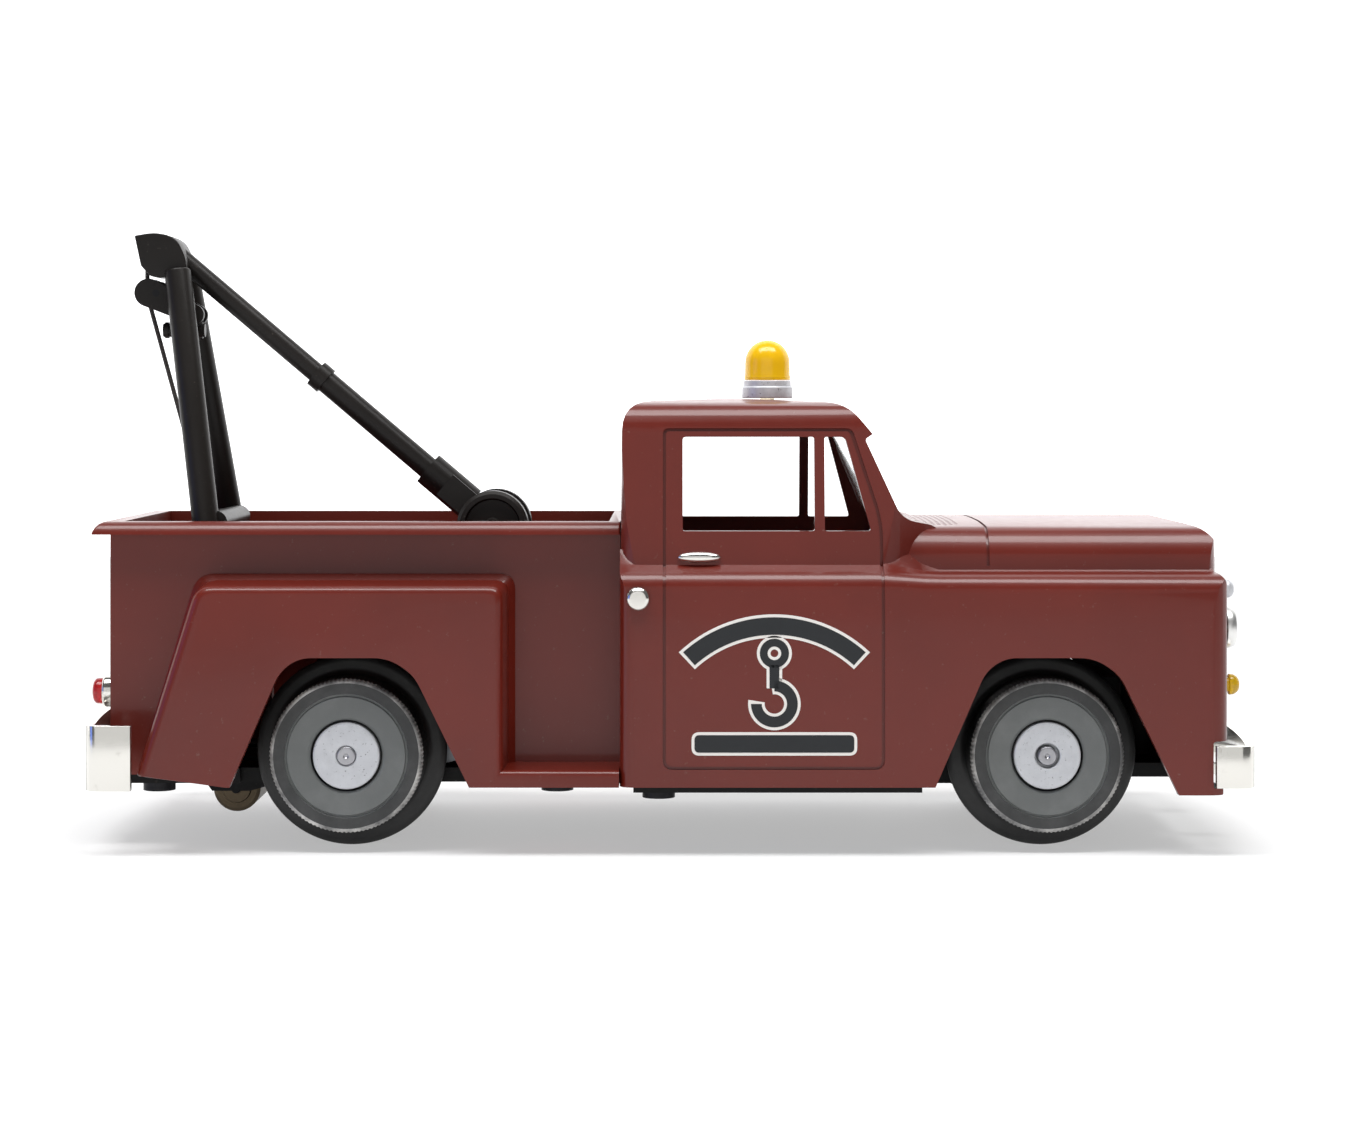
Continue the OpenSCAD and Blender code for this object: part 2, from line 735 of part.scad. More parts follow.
// A point on the middle of the mast at height z
function mast_x(z) = mast_foot.x + (mast_top.x - mast_foot.x) * (z - floor_z) / mast_h;
function mast_y(z) = mast_foot.y + (mast_top.y - mast_foot.y) * (z - floor_z) / mast_h;
function on_boom(s) = winch + s * boom_dir;

module head_outline() {
    translate([mast_top.x, mast_top.z]) polygon([
        [-4.7, 3.8], [-3.5, 4], [-2.4, 4.1], [-1.4, 3.9], [-0.2, 3.2],
        [0.6, 2.3], [1, 1.05], [1, -0.7], [-2.9, -0.7], [-4, 0.5]
    ]);
}

module mast_leg() {
    lean = mast_top - mast_foot;
    bar(mast_foot + lean * 0.4 / mast_h, mast_top, leg_dia);
    translate(mast_foot) cylinder(h = 1, r = 2.6);
}

module mast_frame() {
    cross_z = floor_z + 10.6;
    color(soot) difference() {
        union() {
            both_sides() mast_leg();
            along_y(-3, 3) head_outline();
            axle_bar(mast_x(cross_z) + 1, cross_z, -mast_y(cross_z), mast_y(cross_z), 1.3);
            axle_bar(bracket_x, bracket_z, -mast_y(bracket_z), mast_y(bracket_z), rung_r);
            axle_bar(guide_x, guide_z, -mast_y(guide_z), mast_y(guide_z), guide_r);
        }
        bar(on_boom(norm(boom_run) - 4), on_boom(norm(boom_run) + 0.6), rod_dia + 0.04);
        head_channel();
    }
}

// The curved way of the line through the mast head
module head_channel() {
    half = line_bore / 2;
    entry = [head_bend[0] - [0, 1]];
    route = concat(entry, head_bend);
    n = len(route);
    function side(i) = let (h = route[min(i + 1, n - 1)] - route[max(i - 1, 0)]) half / norm(h) * [-h.y, h.x];
    along_y(-half, half) polygon(concat(
        [for (i = [0:n - 1]) route[i] + side(i)],
        [for (i = [n - 1:-1:0]) route[i] - side(i)]
    ));
}

module boom_rod() {
    color(soot) difference() {
        bar(on_boom(rod_foot), on_boom(norm(boom_run) + 0.5), rod_dia);
        bar(on_boom(rod_foot - 1), on_boom(norm(boom_run) + 1), line_bore);
    }
}

module boom_tube() {
    color(soot) difference() {
        bar(on_boom(rod_foot), on_boom(collar_len + 0.4), tube_dia);
        bar(on_boom(rod_foot - 1), on_boom(collar_len + 1), rod_dia + 0.04);
    }
}

module boom_collar() {
    color(soot) difference() {
        bar(on_boom(collar_len - 0.8), on_boom(collar_len + 0.6), tube_dia + 0.55);
        bar(on_boom(collar_len - 2), on_boom(collar_len + 0.41), tube_dia + 0.02);
        bar(on_boom(collar_len), on_boom(collar_len + 2), rod_dia + 0.04);
    }
}

module boom_sleeve() {
    color(soot) difference() {
        bar(on_boom(sleeve_foot), on_boom(sleeve_top), sleeve_dia);
        bar(on_boom(sleeve_foot - 1), on_boom(sleeve_top + 1), tube_dia + 0.04);
    }
}

module winch_stand() {
    lean = atan2(boom_dir.z, boom_dir.x);
    outer = cheek_y + cheek_w;
    color(soot) {
        both_sides() difference() {
            along_y(cheek_y, outer) {
                translate([winch.x, winch.z]) circle(2.3);
                translate([winch.x - 2.3, floor_z]) square([4.6, winch.z - floor_z]);
                translate([winch.x, winch.z]) rotate(lean) translate([0, -1.4]) square([7, 2.8]);
            }
            axle_bar(winch.x, winch.z, 0, outer + 1, pin_r + slip);
        }
        box(winch.x - 4, winch.x + 4, -outer, outer, floor_z, floor_z + 0.8);
        box(winch.x - 2.3, winch.x - 1.5, -outer, outer, floor_z, winch.z - wound_r - 1.4);
    }
}

module winch_drum() {
    disc_r = disc_dia / 2;
    core_y = cheek_y - 0.1;
    color(soot) {
        axle_bar(winch.x, winch.z, -core_y, core_y, core_r);
        axle_bar(winch.x, winch.z, -disc_y - 0.1, disc_y + 0.1, pin_r);
        both_sides() turned(winch.x, winch.z) polygon([
            [0, disc_y], [disc_r, disc_y], [disc_r, disc_y + 1.8], [disc_r - 0.35, disc_y + 2.2],
            [disc_r - 0.8, disc_y + 2.2], [disc_r - 1, disc_y + 1.6], [1, disc_y + 1.6],
            [0.8, disc_y + 1.9], [0, disc_y + 1.9]
        ]);
    }
}

// The turns of the tow line that stay on the drum
module wound_line() {
    core_y = cheek_y - 0.25;
    color([0.1, 0.1, 0.1]) turned(winch.x, winch.z) polygon([
        [core_r, -core_y], [wound_r - 0.15, -core_y], [wound_r, -core_y + 0.25],
        [wound_r, core_y - 0.25], [wound_r - 0.15, core_y], [core_r, core_y]
    ]);
}

module sheave_bracket() {
    tail = [sheave_x - 0.85, sheave_z + 0.05];
    color(soot) both_sides() difference() {
        along_y(0.95, 1.65) lobe(tail, 1.55, [bracket_x + 0.95, bracket_z - 0.4], 1.1);
        axle_bar(bracket_x, bracket_z, 0, 3, rung_r + slip);
        axle_bar(sheave_x, sheave_z, 0, 3, 0.4);
    }
}

module sheave_pin() {
    color(steel) axle_bar(sheave_x, sheave_z, -1.65, 1.65, 0.4);
}

module sheave_wheel() {
    hub = 0.4 + slip;
    groove = sheave_r - line_dia / 2 - slip;
    color(soot) turned(sheave_x, sheave_z) polygon([
        [hub, -0.85], [sheave_r + 0.1, -0.85], [sheave_r + 0.1, -0.6], [groove, -0.3],
        [groove, 0.3], [sheave_r + 0.1, 0.6], [sheave_r + 0.1, 0.85], [hub, 0.85]
    ]);
}

module cable_guide() {
    color(soot) difference() {
        union() {
            translate([guide_x - 2.95, 0, guide_z]) rotate([0, 90, 0]) cylinder(h = 4.6, r = 0.75);
            for (x = [-2.75, -1.9, 1]) {
                translate([guide_x + x, 0, guide_z]) rotate([0, 90, 0]) cylinder(h = 0.4, r = 0.9);
            }
        }
        axle_bar(guide_x, guide_z, -3, 3, guide_r + slip);
    }
}

// ---- tow line, hook and its stowing eye ----

eye_x = mast_foot.x - 0.2;
eye_z = floor_z + 2.2;
hook_r = 1.1;
hook_wire = 0.45;
hook_z = eye_z + 0.2;
ring_z = hook_z + 3.3;
line_low = [eye_x - 1.3, ring_z + 0.9];          // end of the line in the hook's socket
line_lean = atan2(line_low.x - sheave_x, sheave_z - line_low.y);
line_slack = asin(sheave_r / norm([sheave_x - line_low.x, sheave_z - line_low.y]));
line_turn = line_lean + line_slack;             // lean of the taut line from the vertical
line_touch = [sheave_x - sheave_r * cos(line_turn), sheave_z - sheave_r * sin(line_turn)];

// The line's bend from the sheave up through the mast head to the top of the boom
head_bend = [
    [sheave_x - sheave_r, sheave_z], [sheave_x - sheave_r, mast_top.z], [sheave_x - sheave_r + 0.3, mast_top.z + 1.1],
    [sheave_x - sheave_r + 1, mast_top.z + 1.9], [sheave_x, mast_top.z + 2.2],
    [boom_top.x + boom_dir.x * 0.4, boom_top.z + boom_dir.z * 0.4], [boom_top.x, boom_top.z]
];
spool_r = wound_r + line_dia / 2 + slip;        // where the line lies on the wound turns
spool_turn = acos(spool_r / rod_foot);
spool_lean = atan2(boom_dir.z, -boom_dir.x);    // slope of the boom from the horizontal
spool_touch = [winch.x - spool_r * cos(spool_lean + spool_turn), winch.z + spool_r * sin(spool_lean + spool_turn)];
boom_mouth = [on_boom(rod_foot).x, on_boom(rod_foot).z];

// Middle of the tow line, from the hook over the sheave and down inside the boom to the drum
line_route = concat(
    [line_low],
    stretch(line_low, line_touch, 20),
    [for (a = [line_turn:-line_turn / 2:1]) [sheave_x - sheave_r * cos(a), sheave_z - sheave_r * sin(a)]],
    head_bend,
    stretch([boom_top.x, boom_top.z], boom_mouth, 26),
    [boom_mouth, (boom_mouth + spool_touch) / 2, spool_touch]
);

// Evenly spaced points between two points, without the two
function stretch(p, q, n) = [for (i = [1:n - 1]) p + (q - p) * i / n];

// A tube of the given diameter swept along points in X and Z
module swept(route, d, sides = 8) {
    n = len(route);
    function heading(i) = route[min(i + 1, n - 1)] - route[max(i - 1, 0)];
    function ring(i) = let (h = heading(i), u = h / norm(h))
        [for (k = [0:sides - 1]) let (a = 360 * k / sides)
            [route[i].x - u.y * cos(a) * d / 2, sin(a) * d / 2, route[i].y + u.x * cos(a) * d / 2]];
    points = [for (i = [0:n - 1]) each ring(i)];
    walls = [for (i = [0:n - 2], k = [0:sides - 1]) let (m = (k + 1) % sides)
        [i * sides + k, i * sides + m, (i + 1) * sides + m, (i + 1) * sides + k]];
    foot = [for (k = [sides - 1:-1:0]) k];
    cap = [for (k = [0:sides - 1]) (n - 1) * sides + k];
    polyhedron(points, concat(walls, [foot, cap]));
}

module tow_line() {
    color([0.1, 0.1, 0.1]) swept(line_route, line_dia);
}

module tow_hook() {
    color(soot) {
        translate([eye_x, 0, hook_z]) rotate([90, 0, 0]) rotate([0, 0, 90])
            rotate_extrude(angle = 270) translate([hook_r, 0]) circle(hook_wire);
        bar([eye_x, 0, hook_z + hook_r], [line_low.x + 0.01, 0, line_low.y - 0.03], 2 * hook_wire);
    }
}

module stow_eye() {
    color(steel) {
        both_sides() translate([eye_x, 1.5, floor_z]) cylinder(h = eye_z - floor_z + 0.35, r = 0.35);
        axle_bar(eye_x, eye_z, -1.5, 1.5, 0.35);
    }
}

// ---- wheels and drive ----

// A wheel tyre with its flange inwards, on the left side
module tyre(x) {
    r = tread_r;
    seat_r = hub_dia / 2 + 0.12;
    turned(x, axle_z) polygon([
        [2.2, back_y], [flange_r - 0.4, back_y], [flange_r, back_y + 0.4], [flange_r, gauge_y - 0.45],
        [flange_r - 0.3, gauge_y - 0.1], [r + 0.35, gauge_y], [r, gauge_y + 0.3], [r, face_y - 0.3],
        [r - 0.3, face_y], [r - 1.55, face_y], [r - 1.62, face_y - 0.2], [r - 1.7, face_y - 0.05],
        [seat_r + 0.15, face_y - 0.25], [seat_r, face_y - 0.4], [seat_r, face_y - 1.2], [2.2, face_y - 1.2]
    ]);
}

// A zinc hub on the left side, with a bore of radius r
module hub(x, r) {
    turned(x, axle_z) polygon([
        [r, back_y - 0.05], [2.18, back_y - 0.05], [2.18, face_y - 1.18], [hub_dia / 2, face_y - 1.18],
        [hub_dia / 2, face_y - 0.2], [hub_dia / 2 - 0.1, face_y - 0.1], [r, face_y - 0.05]
    ]);
}

module rear_tyre_left() { color(soot) tyre(rear_x); }
module rear_tyre_right() { color(soot) mirror([0, 1, 0]) tyre(rear_x); }
module front_tyre_left() { color(soot) tyre(front_x); }
module front_tyre_right() { color(soot) mirror([0, 1, 0]) tyre(front_x); }
module rear_hubs() { color(zinc) both_sides() hub(rear_x, axle_r); }
module front_hub_left() { color(zinc) hub(front_x, axle_r + slip); }
module front_hub_right() { color(zinc) mirror([0, 1, 0]) hub(front_x, axle_r + slip); }
module rear_axle() { color(steel) axle_bar(rear_x, axle_z, -face_y, face_y, axle_r); }
module front_axle() { color(steel) axle_bar(front_x, axle_z, -face_y, face_y, axle_r); }

// Gear outline with a tooth pointing along +X
module gear_outline(teeth) {
    pitch_r = teeth * gear_mod / 2;
    base_r = pitch_r * cos(20);
    tip_r = pitch_r + 0.7 * gear_mod;
    root_r = pitch_r - 1.15 * gear_mod;
    play = 0.06;
    function inv(r) = let (a = acos(min(1, base_r / r))) tan(a) * 180 / PI - a;
    function half(r) = 90 / teeth - play / pitch_r * 90 / PI + inv(pitch_r) - inv(max(r, base_r));
    low_r = max(root_r, base_r);
    radii = [root_r, for (k = [0:4]) low_r + (tip_r - low_r) * k / 4];
    polygon([for (i = [0:teeth - 1]) each concat(
        [for (r = radii) let (a = i * 360 / teeth - half(r)) r * [cos(a), sin(a)]],
        [for (k = [len(radii) - 1:-1:0]) let (r = radii[k], a = i * 360 / teeth + half(r)) r * [cos(a), sin(a)]]
    )]);
}

mesh_angle = atan2(motor_rise, motor_x - rear_x);

module axle_gear() {
    color([0.9, 0.88, 0.8]) difference() {
        along_y(gear_y, gear_y + gear_w) translate([rear_x, axle_z]) rotate(mesh_angle) gear_outline(gear_teeth);
        axle_bar(rear_x, axle_z, gear_y - 1, gear_y + gear_w + 1, axle_r);
    }
}

module motor_pinion() {
    color([0.75, 0.6, 0.25]) {
        along_y(gear_y - 0.2, gear_y + gear_w + 0.2) translate([motor_x, motor_z])
            rotate(mesh_angle + 180 + 180 / pinion_teeth) gear_outline(pinion_teeth);
        axle_bar(motor_x, motor_z, motor_y1 - 5, gear_y, shaft_r);
    }
}

module motor_can() {
    color(steel) difference() {
        union() {
            axle_bar(motor_x, motor_z, motor_y0, motor_y1 - 0.6, motor_r);
            axle_bar(motor_x, motor_z, motor_y1 - 0.7, motor_y1, 2.5);
        }
        axle_bar(motor_x, motor_z, motor_y1 - 6, motor_y1 + 1, shaft_r + slip);
    }
}

// Flanged bushes: the nose outside each block keeps the wheel off it
module rear_bushes() {
    color([0.75, 0.6, 0.25]) both_sides() difference() {
        union() {
            axle_bar(rear_x, axle_z, block_y, block_y + block_w, bush_r);
            axle_bar(rear_x, axle_z, block_y + block_w + seat, back_y - 0.2, bush_r + 0.35);
            axle_bar(rear_x, axle_z, block_y + block_w - 0.1, back_y - 0.2, bush_r - 0.1);
        }
        axle_bar(rear_x, axle_z, block_y - 1, back_y, axle_r + slip);
    }
}

module steering_yoke() {
    half = yoke_ear_y + yoke_ear_w;
    color(soot) difference() {
        union() {
            box(front_x - 3.2, front_x + 3.2, -half, half, yoke_z, yoke_z + yoke_t);
            both_sides() box(front_x - 2.4, front_x + 2.4, yoke_ear_y, half, axle_z - axle_r - 0.7, yoke_z + 0.1);
            both_sides() difference() {
                axle_bar(front_x, axle_z, half - 0.1, back_y - 0.2, axle_r + 0.7);
                axle_bar(front_x, axle_z, half - 1, back_y, axle_r);
            }
        }
        axle_bar(front_x, axle_z, -back_y, back_y, axle_r);
        translate([front_x, 0, yoke_z - 1]) cylinder(h = yoke_t + 2, r = 1.5 + slip);
    }
}

module king_pin() {
    color(steel) translate([front_x, 0, yoke_z - 1.1]) {
        cylinder(h = 1, r = 2.5);
        cylinder(h = bridge_z + bridge_t - yoke_z + 1.1, r = 1.5);
    }
}

// ---- centre rail pickups ----

// Arm drawn with its roller at the origin and its pivot towards +X
module pickup_arm() {
    reach = roller_r + 0.75;
    wing = [
        [-reach, 0.9], [-reach + 0.8, -0.15], [1.6, -0.15], [arm_len + 1.1, arm_rise - 1.1],
        [arm_len + 1.1, arm_rise + 1.1], [-reach + 1.2, roller_r + 1], [-reach, roller_r - 0.3]
    ];
    difference() {
        union() {
            both_sides() along_y(ear_y, ear_y + ear_w) polygon(wing);
            box(-reach + 1.6, 2.2, -ear_y - 0.1, ear_y + 0.1, roller_r + 0.3, roller_r + 0.75);
        }
        axle_bar(arm_len, arm_rise, -ear_y - 2, ear_y + 2, pivot_r + slip);
    }
    axle_bar(0, 0, -ear_y - 0.1, ear_y + 0.1, 0.5);
}

module pickup_roller() {
    half = ear_y - 0.25;
    turned(0, 0) polygon([
        [0.5 + slip, -half], [1.5, -half], [1.6, -half + 0.3], [roller_r - 0.35, -half + 0.3],
        [roller_r, -half + 0.6], [roller_r, half - 0.6], [roller_r - 0.35, half - 0.3],
        [1.6, half - 0.3], [1.5, half], [0.5 + slip, half]
    ]);
}

module rear_pickup_arm() { color(soot) translate([rear_pick_x, 0, roller_z]) pickup_arm(); }
module front_pickup_arm() {
    color(soot) translate([front_pick_x, 0, roller_z]) mirror([1, 0, 0]) pickup_arm();
}
module rear_pickup_roller() { color([0.35, 0.3, 0.22]) translate([rear_pick_x, 0, roller_z]) pickup_roller(); }
module front_pickup_roller() { color([0.35, 0.3, 0.22]) translate([front_pick_x, 0, roller_z]) pickup_roller(); }

module pickup_pivot_pins() {
    color(steel) for (x = [rear_pivot_x, front_pivot_x]) {
        axle_bar(x, pivot_z, -slot_half - 0.9, slot_half + 0.9, pivot_r);
    }
}

// A torsion spring round a pin along Y, with a leg that lies against the plate
module torsion_spring(x, way) {
    wire = 0.4;
    coil_r = pivot_r + wire / 2 + 0.08;
    turns = 7;
    steps = 16;
    sides = 8;
    leg = 4;
    rings = turns * steps;
    function middle(i) = let (a = 360 * i / steps) i > rings
        ? [x + way * leg, turns * 0.28, pivot_z + coil_r]
        : [x + way * coil_r * sin(a), (i / steps - turns / 2) * 0.56, pivot_z + coil_r * cos(a)];
    function out(i) = let (a = 360 * i / steps) i > rings ? [0, 0, 1] : [way * sin(a), 0, cos(a)];
    points = [for (i = [0:rings + 1], k = [0:sides - 1]) let (b = -way * 360 * k / sides)
        middle(i) + wire / 2 * (cos(b) * out(i) + sin(b) * [0, 1, 0])];
    walls = [for (i = [0:rings], k = [0:sides - 1]) let (m = (k + 1) % sides)
        [i * sides + k, i * sides + m, (i + 1) * sides + m, (i + 1) * sides + k]];
    foot = [for (k = [sides - 1:-1:0]) k];
    cap = [for (k = [0:sides - 1]) (rings + 1) * sides + k];
    polyhedron(points, concat(walls, [foot, cap]));
}

module pickup_springs() {
    color(steel) {
        torsion_spring(rear_pivot_x, 1);
        torsion_spring(front_pivot_x, -1);
    }
}

// ---- electrics ----

module circuit_board() {
    color([0.1, 0.35, 0.2]) box(board_x0, board_x1, -board_y, board_y, board_z, board_z + 1);
}

module board_components() {
    top = board_z + 1;
    mid = (board_x0 + board_x1) / 2;
    color([0.15, 0.15, 0.17]) {
        box(mid - 4, mid + 1, -3, 3, top, top + 2.2);
        translate([board_x0 + 3.5, -5.5, top]) cylinder(h = 5, r = 2.4);
        translate([board_x0 + 3.5, 5.5, top]) cylinder(h = 5, r = 2.4);
        box(board_x1 - 3.4, board_x1 - 0.8, -6, 6, top, top + 2.6);
    }
}

cab_body();
bed_body();
bed_floor();
chassis_frame();
window_glazing();
cab_floor_cover();
front_bumper();
rear_bumper();
radiator_grille();
headlight_bezels();
headlight_lenses();
lamp_bulbs();
marker_lamps();
turn_signal_lenses();
tail_light_bezels();
tail_light_lenses();
door_handles();
filler_cap();
beacon_base();
beacon_lens();
mast_frame();
boom_rod();
boom_collar();
boom_tube();
boom_sleeve();
winch_stand();
winch_drum();
wound_line();
cable_guide();
sheave_bracket();
sheave_pin();
sheave_wheel();
tow_line();
tow_hook();
stow_eye();
rear_axle();
rear_tyre_left();
rear_tyre_right();
rear_hubs();
axle_gear();
rear_bushes();
motor_can();
motor_pinion();
steering_yoke();
king_pin();
front_axle();
front_tyre_left();
front_tyre_right();
front_hub_left();
front_hub_right();
rear_pickup_arm();
rear_pickup_roller();
front_pickup_arm();
front_pickup_roller();
pickup_pivot_pins();
pickup_springs();
circuit_board();
board_components();
chassis_screws();
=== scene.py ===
"""The visible pieces, finishes, studio and camera of a toy tow truck for a three-rail track.

Lengths are in metres. +X is forwards, +Y is the truck's left and +Z is up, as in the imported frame.
"""

from __future__ import annotations

import json
import logging
import math
from dataclasses import dataclass
from enum import Enum
from typing import Any, Callable, Iterable, Sequence

import bmesh
import bpy
from mathutils import Matrix, Vector

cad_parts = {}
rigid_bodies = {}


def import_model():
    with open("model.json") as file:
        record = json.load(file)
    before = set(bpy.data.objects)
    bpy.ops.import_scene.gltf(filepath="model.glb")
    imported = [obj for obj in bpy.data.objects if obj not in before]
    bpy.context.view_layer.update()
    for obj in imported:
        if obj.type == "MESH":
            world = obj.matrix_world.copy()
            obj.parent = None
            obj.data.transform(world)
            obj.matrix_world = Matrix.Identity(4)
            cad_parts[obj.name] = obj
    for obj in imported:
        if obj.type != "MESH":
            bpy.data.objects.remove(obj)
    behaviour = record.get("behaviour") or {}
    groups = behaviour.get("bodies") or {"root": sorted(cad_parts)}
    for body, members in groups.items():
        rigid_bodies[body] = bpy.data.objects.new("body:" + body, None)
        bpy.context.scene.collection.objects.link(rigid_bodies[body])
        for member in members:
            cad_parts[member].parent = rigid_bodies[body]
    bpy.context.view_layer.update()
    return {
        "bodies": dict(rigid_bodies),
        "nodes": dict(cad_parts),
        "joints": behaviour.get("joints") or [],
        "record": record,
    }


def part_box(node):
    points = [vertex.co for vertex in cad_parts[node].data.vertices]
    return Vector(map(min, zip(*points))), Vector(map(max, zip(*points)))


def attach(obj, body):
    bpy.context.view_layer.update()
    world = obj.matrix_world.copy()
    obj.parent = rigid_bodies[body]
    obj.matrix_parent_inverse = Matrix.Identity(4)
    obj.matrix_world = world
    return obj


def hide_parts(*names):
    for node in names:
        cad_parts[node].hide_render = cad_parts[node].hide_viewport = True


LOG = logging.getLogger("tow_truck")
MM = 0.001
SEAM = 0.06  # gap between the box and the cab, in millimetres
BEYOND = 30.0  # past either side of the truck, in millimetres
BOLT_Y = 9.0  # middle of each bumper bracket, in millimetres
SILL_Z = 7.9  # foot of the screw posts, in millimetres


class Axis(Enum):
    """The axis that an outline is pushed along or turned about."""

    X = 0
    Y = 1
    Z = 2

    def point(self, u: float, v: float, along: float) -> Vector:
        """Places an outline's point in space.

        Args:
            u: First coordinate of the outline, in metres.
            v: Second coordinate of the outline, in metres.
            along: Place along this axis, in metres.

        Returns:
            The point, with u and v on the other two axes in X, Y, Z order.
        """
        if self is Axis.X:
            return Vector((along, u, v))
        if self is Axis.Y:
            return Vector((u, along, v))
        return Vector((u, v, along))

    @property
    def vector(self) -> Vector:
        """The axis as a unit vector."""
        return self.point(0.0, 0.0, 1.0)


@dataclass(frozen=True)
class Corner:
    """A corner of an outline in millimetres, with the setback of its rounding."""

    u: float
    v: float
    round: float = 0.0


def corners(*points: Sequence[float]) -> list[Corner]:
    """Makes corners from (u, v) or (u, v, round) points in millimetres."""
    return [Corner(*point) for point in points]


def both_sides(near: Sequence[Corner]) -> list[Corner]:
    """Closes a plan outline from its right-hand corners, which run forwards."""
    return list(near) + [Corner(c.u, -c.v, c.round) for c in reversed(near)]


def spot(x: float, y: float, z: float) -> Vector:
    """A place given in millimetres, in metres."""
    return Vector((x, y, z)) * MM


def node_box(node: str) -> tuple[Vector, Vector]:
    """A CAD node's lowest and highest corners, in millimetres."""
    low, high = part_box(node)
    return low / MM, high / MM


def middle_of(low: Vector, high: Vector) -> Vector:
    """The middle of a box in X and Z, on the middle plane, in metres from corners in millimetres."""
    return spot((low.x + high.x) / 2, 0, (low.z + high.z) / 2)


def mirrored(half: Sequence[Corner]) -> list[Corner]:
    """Closes a half section whose first corner lies on the middle plane.

    Args:
        half: Corners from the middle plane round to the open foot.

    Returns:
        The whole outline, with the mirror image of every corner but the first.
    """
    return list(half) + [Corner(-c.u, c.v, c.round) for c in reversed(half[1:])]


def rounded(outline: Sequence[Corner], steps: int = 6) -> list[tuple[float, float]]:
    """Points of an outline with each rounded corner as a smooth curve between its setbacks.

    Args:
        outline: The corners in millimetres.
        steps: Number of chords in each rounded corner.

    Returns:
        The points in metres.
    """
    points: list[tuple[float, float]] = []
    count = len(outline)
    for index, corner in enumerate(outline):
        here = Vector((corner.u, corner.v))
        if corner.round <= 0:
            points.append(tuple(here * MM))
            continue
        before = Vector((outline[index - 1].u, outline[index - 1].v)) - here
        after = Vector((outline[(index + 1) % count].u, outline[(index + 1) % count].v)) - here
        setback = min(corner.round, 0.49 * before.length, 0.49 * after.length)
        start = here + before.normalized() * setback
        end = here + after.normalized() * setback
        for step in range(steps + 1):
            t = step / steps
            point = start * (1 - t) ** 2 + here * 2 * t * (1 - t) + end * t * t
            points.append(tuple(point * MM))
    return points


